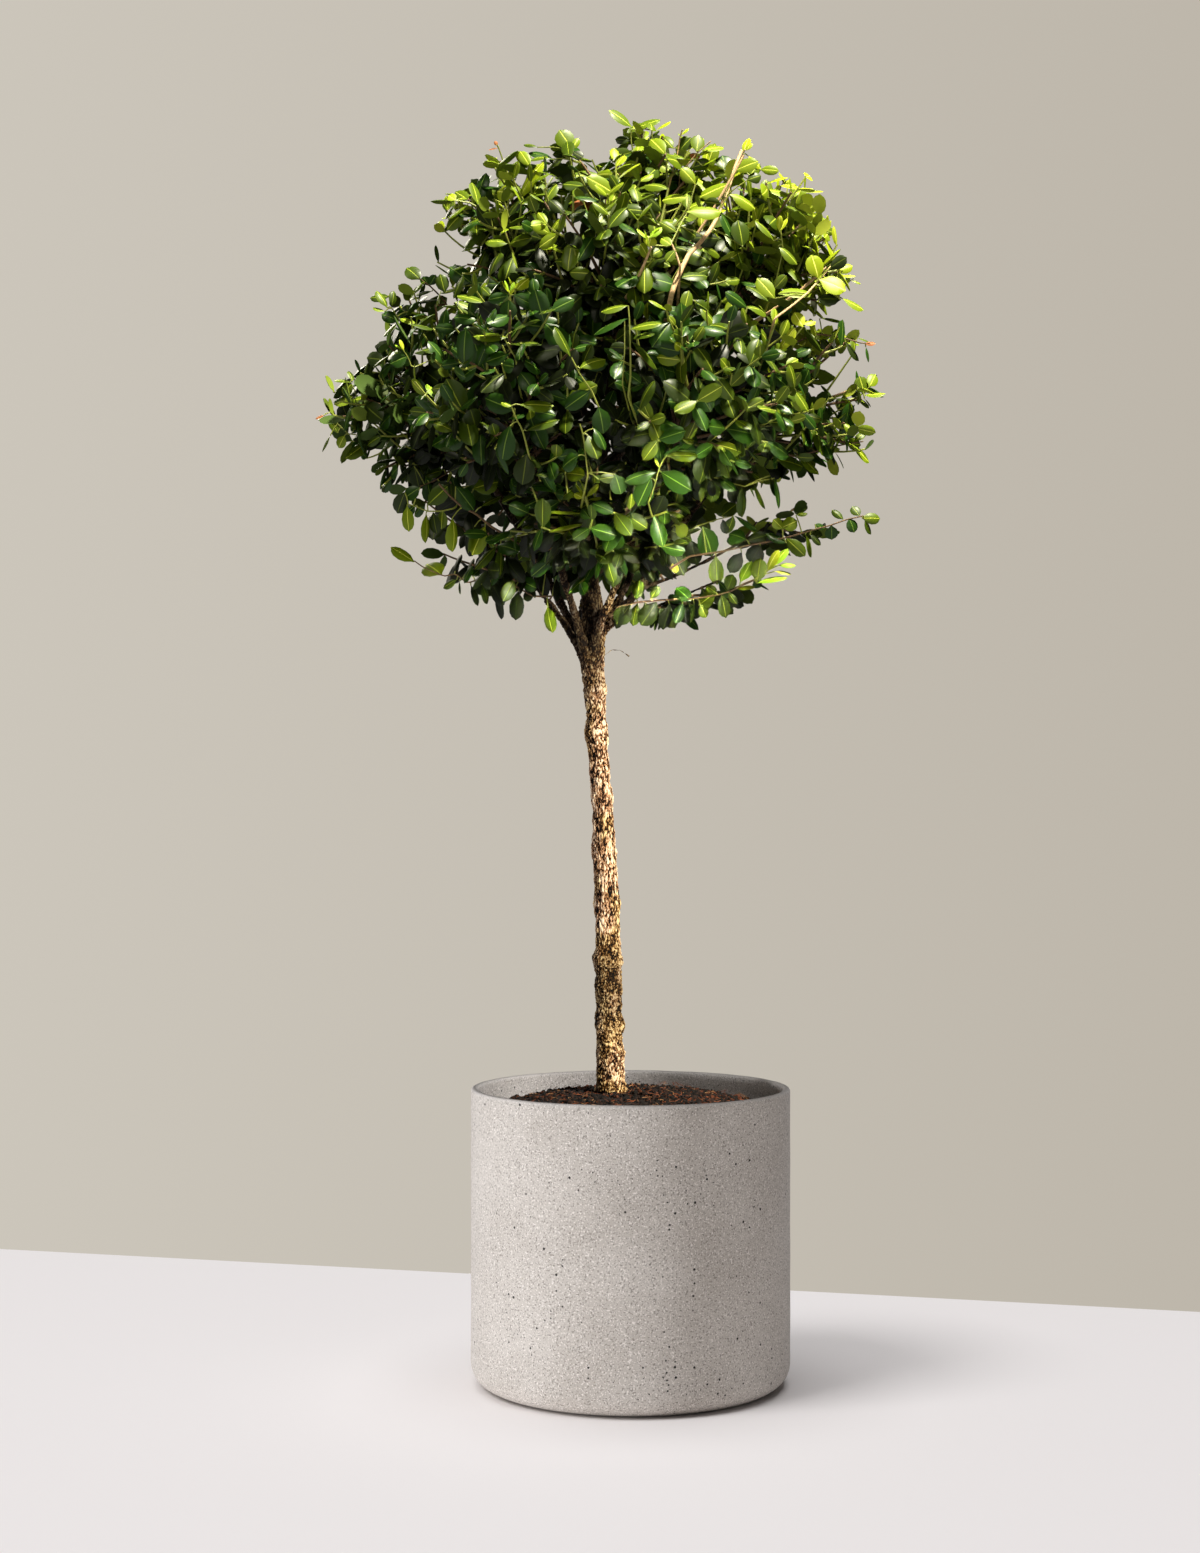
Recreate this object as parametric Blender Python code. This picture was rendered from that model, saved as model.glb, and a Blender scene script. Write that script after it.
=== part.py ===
"""Boxwood ball topiary on a single bare trunk, in a round concrete pot.

Metres, +Z up. The origin is the centre of the pot's flat underside, and the plant is seen from the
front along +Y. The trunk stands on the soil and forks into boughs. Each bough ends where it enters its
own mass of foliage: one stem and its twigs, set with opposite pairs of leaves, in a space of its own.
"""

import math
import random

import bmesh
import bpy
from mathutils import Vector
from mathutils.bvhtree import BVHTree

# Pot: a plain cylinder with a soft lower edge
POT_WIDTH = 0.270
POT_HEIGHT = 0.250
POT_WALL = 0.0065
POT_FLOOR = 0.010
POT_FOOT_ROUND = 0.020
POT_INNER_ROUND = 0.014
POT_LIP_ROUND = 0.0028
POT_SIDES = 32
ARC_STEPS = 3

# Soil: low at the wall, heaped to a level top that the trunk stands on
GAP = 0.0003
SOIL_EDGE_HEIGHT = 0.229
SOIL_TOP_HEIGHT = 0.246
SOIL_TOP_WIDTH = 0.072
SOIL_HEAP_STEPS = 3

# Trunk: leans to the left as it rises, with a slow bend and knots all the way up
TRUNK_FOOT_X = -0.0165
TRUNK_HEAD_X = -0.0330
TRUNK_BEND = 0.0036
TRUNK_SWAY = 0.0025
TRUNK_HEAD_HEIGHT = 0.622
TRUNK_FOOT_RADIUS = 0.0110
TRUNK_NECK_RADIUS = 0.0091
TRUNK_HEAD_RADIUS = 0.0152
FLARE_RADIUS = 0.0028
FLARE_HEIGHT = 0.014
HEAD_SPREAD_HEIGHT = 0.016
TRUNK_SIDES = 10
TRUNK_RINGS = 38
TRUNK_GNARL = 0.0007
# Each knot: its height, how far it stands out and the side it faces, in degrees round from +X
KNOTS = (
    (0.286, 0.0018, 20),
    (0.318, 0.0016, 200),
    (0.357, 0.0034, 230),
    (0.405, 0.0014, 60),
    (0.452, 0.0016, 150),
    (0.497, 0.0018, 330),
    (0.548, 0.0022, 190),
    (0.585, 0.0020, 20),
)
KNOT_HALF_HEIGHT = 0.0075
KNOT_BACK_SHARE = 0.10  # how much of a knot still shows on the side it faces away from

# Boughs and the stems that carry on from them
BOUGH_SIDES = 6
BOUGH_STEP = 0.028
STEM_SIDES = 5
STEM_STEPS = 3
STEM_TIP_RADIUS = 0.0021
FORK_RING_RADIUS = 0.0110

# Twigs: straight and three-sided, set all round the outer part of the stem
TWIG_SIDES = 3
TWIG_ROOT_RADIUS = 0.0023
TWIG_TIP_RADIUS = 0.0017
TWIG_TRIES = (1.0, 0.9, 0.8, 0.7)  # how much of its length a twig keeps where the whole doesn't fit
STEM_BARE_SHARE = 0.12
BRANCH_BACK = 0.55  # how far a twig starts behind the place on the stem that is nearest to its end
INWARD_LIMIT = -0.45
GOLDEN_ANGLE = math.pi * (3 - math.sqrt(5))
GOLDEN_SHARE = GOLDEN_ANGLE / math.tau

# Leaves: a leaf here stands for a pair or two of the real ones, so it is larger than life
LEAF_LENGTH = 0.055
SPRIG_LEAF_LENGTH = 0.034
LEAF_WIDTH_SHARE = 0.60
LEAF_EDGE = ((0.30, 0.88), (0.68, 1.00))  # each edge corner: its place along the leaf, share of the width
LEAF_SLOPE = 0.32
LEAF_SINK = 0.0003
LEAF_ANGLE = math.radians(58)
TIP_LEAF_ANGLE = math.radians(36)
LEAF_PAIR_SPACING = 0.022
SPRIG_PAIR_SPACING = 0.023
TIP_PAIR_BACK = 0.004
TIP_INSET = 0.74  # how much of a leaf's length a twig stops short of the edge of its space
LEAF_DROOP = 0.30
SPRIG_DROOP = 0.45
LEAF_FACE_UP = 0.8
LEAF_FACE_SPREAD = 0.35
LEAF_WAY_SPREAD = 0.22
LEAF_LENGTH_SPREAD = 0.08
LEAF_TRIES = (1.0, 1.0, 0.92, 0.84, 0.76, 0.68)
TIP_LEAF_TRIES = 8
MOST_PAIRS = 5
MOST_LEAVES = 30
MOST_LEAFY_SHARE = 0.85

# Room kept between the masses, and round the trunk and the boughs
SPACE_MARGIN = 0.0007
LIMB_CLEARANCE = 0.0009

# The middle of the crown, which every leaf turns its face away from
CROWN_CENTRE = Vector((-0.026, 0.0, 0.845))

# Each mass of foliage: its middle, how far it reaches along X, Y and Z, how many twigs fill it, what
# carries it, where on that the bough sets off, the bough's two radii, and the named tips it reaches.
# On the trunk's head the bough sets off at an angle round from +X, or in the middle with None.
# On another bough it sets off at a share of that bough's length.
MASSES = {
    "top": dict(
        middle=(0.008, 0.000, 0.992), reach=(0.100, 0.098, 0.085), twigs=5,
        carrier="trunk", place=None, radii=(0.0056, 0.0034),
        tips=((0.010, -0.005, 1.0765), (-0.066, -0.012, 1.055), (0.078, -0.010, 1.046)),
    ),
    "left_low": dict(
        middle=(-0.132, -0.012, 0.722), reach=(0.094, 0.080, 0.066), twigs=4,
        carrier="trunk", place=188, radii=(0.0031, 0.0023),
        tips=((-0.197, -0.018, 0.698), (-0.098, -0.030, 0.656)), sprig=True,
    ),
    "left": dict(
        middle=(-0.164, 0.002, 0.832), reach=(0.102, 0.094, 0.106), twigs=6,
        carrier="trunk", place=140, radii=(0.0036, 0.0027),
        tips=(
            (-0.264, -0.005, 0.814), (-0.236, -0.004, 0.876),
            (-0.190, -0.010, 0.926), (-0.212, -0.020, 0.762),
        ),
    ),
    "right": dict(
        middle=(0.118, 0.000, 0.824), reach=(0.100, 0.094, 0.098), twigs=5,
        carrier="trunk", place=-4, radii=(0.0036, 0.0026),
        tips=((0.216, -0.010, 0.832), (0.194, -0.010, 0.788), (0.190, -0.012, 0.886)),
    ),
    "back_left": dict(
        middle=(-0.092, 0.120, 0.826), reach=(0.096, 0.094, 0.096), twigs=6,
        carrier="trunk", place=92, radii=(0.0034, 0.0025),
    ),
    "back_right": dict(
        middle=(0.046, 0.118, 0.822), reach=(0.096, 0.094, 0.094), twigs=6,
        carrier="trunk", place=44, radii=(0.0034, 0.0025),
    ),
    "front_left": dict(
        middle=(-0.094, -0.118, 0.824), reach=(0.098, 0.094, 0.096), twigs=6,
        carrier="trunk", place=236, radii=(0.0034, 0.0024),
    ),
    "front_right": dict(
        middle=(0.050, -0.120, 0.820), reach=(0.098, 0.094, 0.094), twigs=6,
        carrier="trunk", place=300, radii=(0.0034, 0.0024),
    ),
    "upper_left": dict(
        middle=(-0.092, -0.010, 0.946), reach=(0.082, 0.085, 0.098), twigs=6,
        carrier="top", place=0.52, radii=(0.0036, 0.0025),
        tips=((-0.112, -0.020, 1.040), (-0.164, -0.015, 0.995)),
    ),
    "upper_right": dict(
        middle=(0.104, -0.008, 0.942), reach=(0.094, 0.085, 0.092), twigs=5,
        carrier="top", place=0.45, radii=(0.0036, 0.0025),
        tips=((0.116, -0.012, 1.024), (0.156, -0.012, 0.990), (0.186, -0.012, 0.936)),
    ),
    "upper_front": dict(
        middle=(-0.008, -0.096, 0.926), reach=(0.098, 0.082, 0.090), twigs=6,
        carrier="top", place=0.36, radii=(0.0036, 0.0025),
    ),
    "upper_back": dict(
        middle=(-0.004, 0.096, 0.932), reach=(0.098, 0.082, 0.090), twigs=6,
        carrier="top", place=0.60, radii=(0.0036, 0.0025),
    ),
    "right_spray": dict(
        middle=(0.138, -0.008, 0.738), reach=(0.090, 0.060, 0.036), twigs=3,
        carrier="right", place=0.28, radii=(0.0028, 0.0022),
        tips=((0.2135, -0.020, 0.733),), sprig=True,
    ),
    "right_low": dict(
        middle=(0.074, -0.026, 0.676), reach=(0.096, 0.070, 0.048), twigs=4,
        carrier="right", place=0.13, radii=(0.0028, 0.0022),
        tips=((0.132, -0.030, 0.684), (0.044, -0.050, 0.646)), sprig=True,
    ),
    "front_low": dict(
        middle=(-0.030, -0.080, 0.724), reach=(0.096, 0.080, 0.062), twigs=5,
        carrier="front_right", place=0.30, radii=(0.0028, 0.0022),
    ),
    "back_low": dict(
        middle=(-0.026, 0.084, 0.724), reach=(0.100, 0.080, 0.062), twigs=5,
        carrier="back_left", place=0.30, radii=(0.0028, 0.0022),
    ),
}

# How steeply a bough sets off, from upright, and how far it runs before it turns to its mass
LAUNCH_LEAN = math.radians(30)
LAUNCH_SHARE = 0.42
SIDE_LAUNCH_LEAN = math.radians(38)
AXIS_STEPS = 60
ENTRY_SHARE = 0.80

COLOURS = {
    "concrete": ((0.52, 0.49, 0.46), 0.80),
    "compost": ((0.060, 0.034, 0.020), 0.95),
    "bark": ((0.240, 0.165, 0.095), 0.85),
    "foliage": ((0.060, 0.130, 0.022), 0.45),
}


def clear_scene():
    for thing in list(bpy.data.objects):
        bpy.data.objects.remove(thing, do_unlink=True)


def make_materials():
    made = {}
    for name, (colour, roughness) in COLOURS.items():
        material = bpy.data.materials.new(name)
        material.use_nodes = True
        shader = material.node_tree.nodes["Principled BSDF"]
        shader.inputs["Base Color"].default_value = (*colour, 1.0)
        shader.inputs["Roughness"].default_value = roughness
        shader.inputs["Metallic"].default_value = 0.0
        made[name] = material
    return made


def add_object(name, shape, material, origin=(0.0, 0.0, 0.0), collection=None, smooth_below=None):
    """Turns a bmesh in world metres into an object whose own origin is at origin."""
    bmesh.ops.translate(shape, verts=shape.verts, vec=-Vector(origin))
    mesh = bpy.data.meshes.new(name)
    shape.to_mesh(mesh)
    shape.free()
    if smooth_below is not None:
        mesh.shade_smooth()
        mesh.set_sharp_from_angle(angle=smooth_below)
    thing = bpy.data.objects.new(name, mesh)
    thing.location = origin
    mesh.materials.append(material)
    (collection or bpy.context.scene.collection).objects.link(thing)
    return thing


def turned(profile, sides):
    """A closed body of revolution from (radius, height) pairs that start and end on the axis."""
    shape = bmesh.new()
    points = [shape.verts.new((radius, 0.0, height)) for radius, height in profile]
    lines = [shape.edges.new(pair) for pair in zip(points, points[1:])]
    bmesh.ops.spin(
        shape, geom=points + lines, cent=(0, 0, 0), axis=(0, 0, 1), angle=math.tau,
        steps=sides, use_merge=True,
    )
    bmesh.ops.remove_doubles(shape, verts=shape.verts, dist=0.00001)
    bmesh.ops.recalc_face_normals(shape, faces=shape.faces)
    return shape


def arc(centre, radius, start, end, steps=ARC_STEPS):
    """Points of a profile along an arc, with angles in degrees."""
    angles = [math.radians(start + (end - start) * i / steps) for i in range(steps + 1)]
    return [(centre[0] + radius * math.cos(a), centre[1] + radius * math.sin(a)) for a in angles]


def pot_inner_radius():
    return POT_WIDTH / 2 - POT_WALL


def make_pot(material):
    outer = POT_WIDTH / 2
    inner = pot_inner_radius()
    foot = (outer - POT_FOOT_ROUND, POT_FOOT_ROUND)
    outer_lip = (outer - POT_LIP_ROUND, POT_HEIGHT - POT_LIP_ROUND)
    inner_lip = (inner + POT_LIP_ROUND, POT_HEIGHT - POT_LIP_ROUND)
    inner_foot = (inner - POT_INNER_ROUND, POT_FLOOR + POT_INNER_ROUND)
    profile = [(0.0, 0.0)]
    profile += arc(foot, POT_FOOT_ROUND, -90, 0)
    profile += arc(outer_lip, POT_LIP_ROUND, 0, 90, 3)
    profile += arc(inner_lip, POT_LIP_ROUND, 90, 180, 3)
    profile += arc(inner_foot, POT_INNER_ROUND, 0, -90, 2)
    profile += [(0.0, POT_FLOOR)]
    return add_object("pot", turned(profile, POT_SIDES), material, smooth_below=math.radians(35))


def make_soil(material):
    outer = pot_inner_radius() - GAP
    rounding = POT_INNER_ROUND
    floor = POT_FLOOR + GAP
    level = SOIL_TOP_WIDTH / 2
    profile = [(0.0, floor)]
    profile += arc((outer - rounding, floor + rounding), rounding, -90, 0, 2)
    for step in range(SOIL_HEAP_STEPS + 1):
        share = step / SOIL_HEAP_STEPS
        radius = outer + (level - outer) * share
        height = SOIL_EDGE_HEIGHT + (SOIL_TOP_HEIGHT - SOIL_EDGE_HEIGHT) * math.sin(share * math.pi / 2)
        profile.append((radius, height))
    profile.append((0.0, SOIL_TOP_HEIGHT))
    return add_object("soil", turned(profile, POT_SIDES), material, smooth_below=math.radians(35))


def trunk_foot_height():
    return SOIL_TOP_HEIGHT + GAP


def trunk_centre(height):
    """The middle of the trunk at a height: a lean, one slow bend and a slight sway."""
    share = (height - trunk_foot_height()) / (TRUNK_HEAD_HEIGHT - trunk_foot_height())
    lean = TRUNK_FOOT_X + (TRUNK_HEAD_X - TRUNK_FOOT_X) * share
    bend = TRUNK_BEND * max(0.0, math.sin(share * math.pi)) ** 1.5
    return Vector((lean + bend, TRUNK_SWAY * math.sin(share * math.tau), height))


def trunk_radius(height, angle):
    """How far the bark is from the middle, with the root flare, the spread under the fork and knots."""
    foot = trunk_foot_height()
    share = (height - foot) / (TRUNK_HEAD_HEIGHT - foot)
    radius = TRUNK_FOOT_RADIUS + (TRUNK_NECK_RADIUS - TRUNK_FOOT_RADIUS) * share
    radius += FLARE_RADIUS * math.exp(-(height - foot) / FLARE_HEIGHT)
    spread = TRUNK_HEAD_RADIUS - TRUNK_NECK_RADIUS
    below_head = max(0.0, TRUNK_HEAD_HEIGHT - height)
    radius += spread * math.exp(-((below_head / HEAD_SPREAD_HEIGHT) ** 1.5))
    for knot_height, stands_out, faces in KNOTS:
        near = math.exp(-(((height - knot_height) / KNOT_HALF_HEIGHT) ** 2))
        facing = (1 + math.cos(angle - math.radians(faces))) / 2
        radius += stands_out * near * (KNOT_BACK_SHARE + (1 - KNOT_BACK_SHARE) * facing)
    return radius


def ring_of(shape, centre, across, along, radii):
    count = len(radii)
    return [
        shape.verts.new(
            centre
            + across * (radius * math.cos(math.tau * i / count))
            + along * (radius * math.sin(math.tau * i / count))
        )
        for i, radius in enumerate(radii)
    ]


def skin(shape, rings):
    """Closes a row of rings into one body with a cap at each end."""
    for low, high in zip(rings, rings[1:]):
        for i in range(len(low)):
            j = (i + 1) % len(low)
            shape.faces.new((low[i], low[j], high[j], high[i]))
    shape.faces.new(list(reversed(rings[0])))
    shape.faces.new(rings[-1])
    bmesh.ops.triangulate(shape, faces=shape.faces)
    bmesh.ops.recalc_face_normals(shape, faces=shape.faces)
    return shape


def trunk_shape(extra=0.0):
    """The trunk as rings from its flat foot to its head, with extra added to its radius."""
    chance = random.Random(11)
    shape = bmesh.new()
    foot = trunk_foot_height()
    rings = []
    for step in range(TRUNK_RINGS + 1):
        height = foot + (TRUNK_HEAD_HEIGHT - foot) * step / TRUNK_RINGS
        radii = []
        for side in range(TRUNK_SIDES):
            gnarl = TRUNK_GNARL * chance.uniform(-1, 1)
            radii.append(trunk_radius(height, math.tau * side / TRUNK_SIDES) + gnarl + extra)
        rings.append(ring_of(shape, trunk_centre(height), Vector((1, 0, 0)), Vector((0, 1, 0)), radii))
    return skin(shape, rings)


def bend_line(start, turn, end, share):
    """A point on the quadratic curve from start to end that turn pulls towards itself."""
    return start * (1 - share) ** 2 + turn * (2 * share * (1 - share)) + end * share**2


def tangents(path):
    ends = [path[0]] + list(path) + [path[-1]]
    return [(ends[i + 2] - ends[i]).normalized() for i in range(len(path))]


def frames(path):
    """Two directions across the path at each point, carried along it without twisting."""
    lines = tangents(path)
    across = lines[0].orthogonal().normalized()
    found = []
    for line in lines:
        across = (across - line * across.dot(line)).normalized()
        found.append((across, line.cross(across)))
    return lines, found


def limb_shape(path, radii, sides, root_plane=None):
    """A tapering tube along path. root_plane is the normal of a slanted cut at its start."""
    shape = bmesh.new()
    lines, crosses = frames(path)
    rings = []
    for centre, radius, (across, along) in zip(path, radii, crosses):
        rings.append(ring_of(shape, centre, across, along, [radius] * sides))
    if root_plane is not None:
        for point in rings[0]:
            off = (point.co - path[0]).dot(root_plane)
            point.co -= lines[0] * (off / lines[0].dot(root_plane))
    return skin(shape, rings)


class Axis:
    """The line of one bough and the stem after it, from its root to the heart of its mass."""

    def __init__(self, name, axes):
        mass = MASSES[name]
        self.name = name
        self.heart = Vector(mass["middle"])
        self.root_radius, self.entry_radius = mass["radii"]
        if mass["carrier"] == "trunk":
            self.set_on_fork(mass["place"])
        else:
            self.set_on_bough(axes[mass["carrier"]], mass["place"])
        self.points = [
            bend_line(self.root, self.turn, self.heart, i / AXIS_STEPS) for i in range(AXIS_STEPS + 1)
        ]
        self.entry = self.find_entry(Space(name))

    def set_on_fork(self, place):
        head = trunk_centre(TRUNK_HEAD_HEIGHT)
        self.root_plane = Vector((0, 0, 1))
        outward = Vector((0, 0, 0))
        if place is not None:
            angle = math.radians(place)
            outward = Vector((math.cos(angle), math.sin(angle), 0))
        self.root = head + outward * FORK_RING_RADIUS + self.root_plane * GAP
        way = outward * math.sin(LAUNCH_LEAN) + Vector((0, 0, 1)) * math.cos(LAUNCH_LEAN)
        self.turn = self.root + way.normalized() * (self.heart - self.root).length * LAUNCH_SHARE

    def set_on_bough(self, carrier, place):
        at = carrier.points[round(place * AXIS_STEPS)]
        line = tangents(carrier.points)[round(place * AXIS_STEPS)]
        outward = self.heart - at
        outward = (outward - line * outward.dot(line)).normalized()
        self.root_plane = outward
        self.root = at + outward * (carrier.radius_at(place) + GAP)
        way = outward * math.sin(SIDE_LAUNCH_LEAN) + line * math.cos(SIDE_LAUNCH_LEAN)
        self.turn = self.root + way * (self.heart - self.root).length * LAUNCH_SHARE

    def radius_at(self, share):
        return self.root_radius + (self.entry_radius - self.root_radius) * share

    def find_entry(self, space):
        """The step from which the rest of the line stays well inside the mass's own space."""
        entry = AXIS_STEPS
        while entry > 0 and space.holds(self.points[entry - 1], ENTRY_SHARE):
            entry -= 1
        return max(entry, AXIS_STEPS // 4)

    def bough_path(self):
        length = sum((b - a).length for a, b in zip(self.points[: self.entry], self.points[1:]))
        steps = max(3, round(length / BOUGH_STEP))
        picks = [round(self.entry * i / steps) for i in range(steps + 1)]
        return [self.points[i] for i in picks], [self.radius_at(i / AXIS_STEPS) for i in picks]

    def stem_path(self):
        line = tangents(self.points)[self.entry]
        start = self.points[self.entry] + line * GAP
        left = AXIS_STEPS - self.entry
        picks = [self.entry + round(left * i / STEM_STEPS) for i in range(1, STEM_STEPS + 1)]
        path = [start] + [self.points[i] for i in picks]
        first = self.radius_at(self.entry / AXIS_STEPS)
        radii = [first + (STEM_TIP_RADIUS - first) * i / STEM_STEPS for i in range(STEM_STEPS + 1)]
        return path, radii


class Space:
    """The room of one mass: an ellipsoid, cut by a plane between it and each of the other masses."""

    def __init__(self, name):
        mass = MASSES[name]
        self.middle = Vector(mass["middle"])
        self.reach = Vector(mass["reach"])
        size = sum(self.reach)
        self.planes = []
        for other_name, other in MASSES.items():
            if other_name == name:
                continue
            across = Vector(other["middle"]) - self.middle
            share = size / (size + sum(other["reach"]))
            limit = across.length * share - SPACE_MARGIN
            self.planes.append((across.normalized(), limit))

    def holds(self, point, share=1.0):
        off = point - self.middle
        inside = sum((off[i] / (self.reach[i] * share)) ** 2 for i in range(3)) <= 1.0
        return inside and self.clear_of_others(point)

    def clear_of_others(self, point):
        off = point - self.middle
        return all(off.dot(normal) < limit for normal, limit in self.planes)


def tree_of(shapes):
    """One search tree over the faces of several shapes, which are freed."""
    points = []
    faces = []
    for shape in shapes:
        shape.verts.index_update()
        faces += [[len(points) + corner.index for corner in face.verts] for face in shape.faces]
        points += [point.co.copy() for point in shape.verts]
        shape.free()
    return BVHTree.FromPolygons(points, faces)


def limb_tree(axes):
    """The trunk's head and every bough, a little fatter than they are, for keeping leaves off them."""
    shapes = [trunk_shape(LIMB_CLEARANCE)]
    for axis in axes.values():
        path, radii = axis.bough_path()
        shapes.append(limb_shape(path, [radius + LIMB_CLEARANCE for radius in radii], BOUGH_SIDES))
    return tree_of(shapes)


def leaf_shape(root, way, face, length):
    """A pointed oval with a ridge along its middle and edges turned down: eight faces."""
    side = face.cross(way).normalized()
    up = way.cross(side).normalized()
    shape = bmesh.new()
    base = shape.verts.new(root - way * LEAF_SINK)
    tip = shape.verts.new(root + way * length)
    edges = []
    for along, width_share in LEAF_EDGE:
        half = length * LEAF_WIDTH_SHARE * width_share / 2
        middle = root + way * (length * along) - up * (half * LEAF_SLOPE)
        edges += [shape.verts.new(middle + side * half), shape.verts.new(middle - side * half)]
    near_left, near_right, far_left, far_right = edges
    for corners in (
        (base, near_left, tip),
        (near_left, far_left, tip),
        (base, tip, near_right),
        (near_right, tip, far_right),
        (base, near_right, near_left),
        (near_left, near_right, far_right),
        (near_left, far_right, far_left),
        (far_left, far_right, tip),
    ):
        shape.faces.new(corners)
    bmesh.ops.recalc_face_normals(shape, faces=shape.faces)
    return shape


class Grower:
    """Fills one mass's space with a stem, twigs and leaves, skipping what would leave the space."""

    def __init__(self, name, axis, limbs, material):
        self.mass = MASSES[name]
        self.name = name
        self.axis = axis
        self.space = Space(name)
        self.limbs = limbs
        self.material = material
        self.chance = random.Random("boxwood " + name)
        self.sprig = self.mass.get("sprig", False)
        self.leaf_length = SPRIG_LEAF_LENGTH if self.sprig else LEAF_LENGTH
        self.pair_spacing = SPRIG_PAIR_SPACING if self.sprig else LEAF_PAIR_SPACING
        self.collection = bpy.data.collections.new("growth_" + name)
        bpy.context.scene.collection.children.link(self.collection)
        self.named = {}
        self.grown = []
        self.twigs = {}
        self.leaves = 0

    def fits(self, shape, owner=None, at_named_tip=False):
        """True inside the space and off every limb. A leaf also stays off all but its twig and partner."""
        holds = self.space.clear_of_others if at_named_tip else self.space.holds
        if not all(holds(point.co) for point in shape.verts):
            return False
        tree = BVHTree.FromBMesh(shape)
        if tree.overlap(self.limbs):
            return False
        if owner is None:
            return True
        for other, other_owner in self.grown:
            kin = other_owner[0] == owner[0] and other_owner[1] in (None, owner[1])
            if not kin and tree.overlap(other):
                return False
        return True

    def add(self, shape, kind, owner=None):
        """owner is a leaf's twig and pair, or a twig's own number and None."""
        if owner is not None:
            self.grown.append((BVHTree.FromBMesh(shape), owner))
        add_object(f"{kind}_{self.name}", shape, self.material, collection=self.collection)

    def add_leaf(self, root, way, owner):
        """A leaf with its face up and outward, turned or shortened where it doesn't fit at first."""
        outward = (root - CROWN_CENTRE).normalized() + Vector((0, 0, LEAF_FACE_UP))
        length = self.leaf_length * (1 + self.chance.uniform(-LEAF_LENGTH_SPREAD, LEAF_LENGTH_SPREAD))
        for share in LEAF_TRIES:
            turned_way = (way + self.scatter(LEAF_WAY_SPREAD)).normalized()
            shape = leaf_shape(root, turned_way, outward + self.scatter(LEAF_FACE_SPREAD), length * share)
            if self.fits(shape, owner):
                self.add(shape, "leaf", owner)
                self.leaves += 1
                return
            shape.free()

    def add_tip_leaf(self, twig):
        """The leaf that ends at a named tip, in line with its twig."""
        root = self.twigs[twig][-1]
        way = (self.named[twig] - root).normalized()
        length = (self.named[twig] - root).length + TIP_PAIR_BACK
        outward = (root - CROWN_CENTRE).normalized() + Vector((0, 0, LEAF_FACE_UP))
        for _ in range(TIP_LEAF_TRIES):
            shape = leaf_shape(root - way * TIP_PAIR_BACK, way, outward + self.scatter(1.0), length)
            if self.fits(shape, (twig, 0), at_named_tip=True):
                self.add(shape, "leaf", (twig, 0))
                self.leaves += 1
                return
            shape.free()

    def scatter(self, most):
        """A small shift each way, up to most."""
        return Vector([self.chance.uniform(-most, most) for _ in range(3)])

    def add_pair(self, twig, pair):
        """One pair of opposite leaves on a twig, counted from its tip, a quarter turn from the last."""
        start, end = self.twigs[twig]
        line = (end - start).normalized()
        back = TIP_PAIR_BACK + pair * self.pair_spacing
        if back > (end - start).length * MOST_LEAFY_SHARE:
            return
        root = end - line * back
        across = line.orthogonal().normalized()
        angle = math.tau * (twig * GOLDEN_SHARE + pair / 4)
        sideways = across * math.cos(angle) + line.cross(across) * math.sin(angle)
        if self.sprig:
            sideways = line.cross(Vector((0, 0, 1))).normalized()
        lean = LEAF_ANGLE if pair else TIP_LEAF_ANGLE
        droop = SPRIG_DROOP if self.sprig else LEAF_DROOP
        for sign in (1, -1):
            way = line * math.cos(lean) + sideways * (sign * math.sin(lean))
            way += Vector((0, 0, -droop * self.chance.random()))
            self.add_leaf(root, way.normalized(), (twig, pair))

    def twig_start(self, target):
        """The place on the stem that lets a twig branch forward to its target."""
        first = self.axis.entry + round((AXIS_STEPS - self.axis.entry) * STEM_BARE_SHARE)
        stem = self.axis.points[first:]
        nearest = min(range(len(stem)), key=lambda i: (stem[i] - target).length)
        back = (stem[nearest] - target).length * BRANCH_BACK
        while nearest > 0 and back > 0:
            back -= (stem[nearest] - stem[nearest - 1]).length
            nearest -= 1
        return stem[nearest]

    def add_twig(self, target, twig):
        """One twig from the stem to target, which is drawn in until the twig fits."""
        start = self.twig_start(target)
        for share in TWIG_TRIES:
            path = [start, start.lerp(target, share)]
            shape = limb_shape(path, (TWIG_ROOT_RADIUS, TWIG_TIP_RADIUS), TWIG_SIDES)
            if self.fits(shape):
                self.add(shape, "twig", (twig, None))
                self.twigs[twig] = path
                return
            shape.free()

    def tip_targets(self):
        """Where the twigs to the named tips end, a leaf's length short of them."""
        for twig, tip in enumerate(self.mass.get("tips", ())):
            self.named[twig] = Vector(tip)
            way = (Vector(tip) - self.axis.heart).normalized()
            yield Vector(tip) - way * (self.leaf_length * TIP_INSET)

    def even_targets(self):
        """Places spread evenly over the space, but for the side towards the crown's middle."""
        outward = (self.space.middle - CROWN_CENTRE).normalized()
        offset = self.chance.uniform(0, math.tau)
        spread = 2 * self.mass["twigs"]
        for i in range(spread):
            height = 1 - 2 * (i + 0.5) / spread
            angle = offset + i * GOLDEN_ANGLE
            flat = math.sqrt(1 - height * height)
            way = Vector((flat * math.cos(angle), flat * math.sin(angle), height))
            if way.dot(outward) > INWARD_LIMIT:
                inner = [reach - TIP_INSET * self.leaf_length for reach in self.space.reach]
                yield self.space.middle + Vector([way[k] * inner[k] for k in range(3)])

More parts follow.
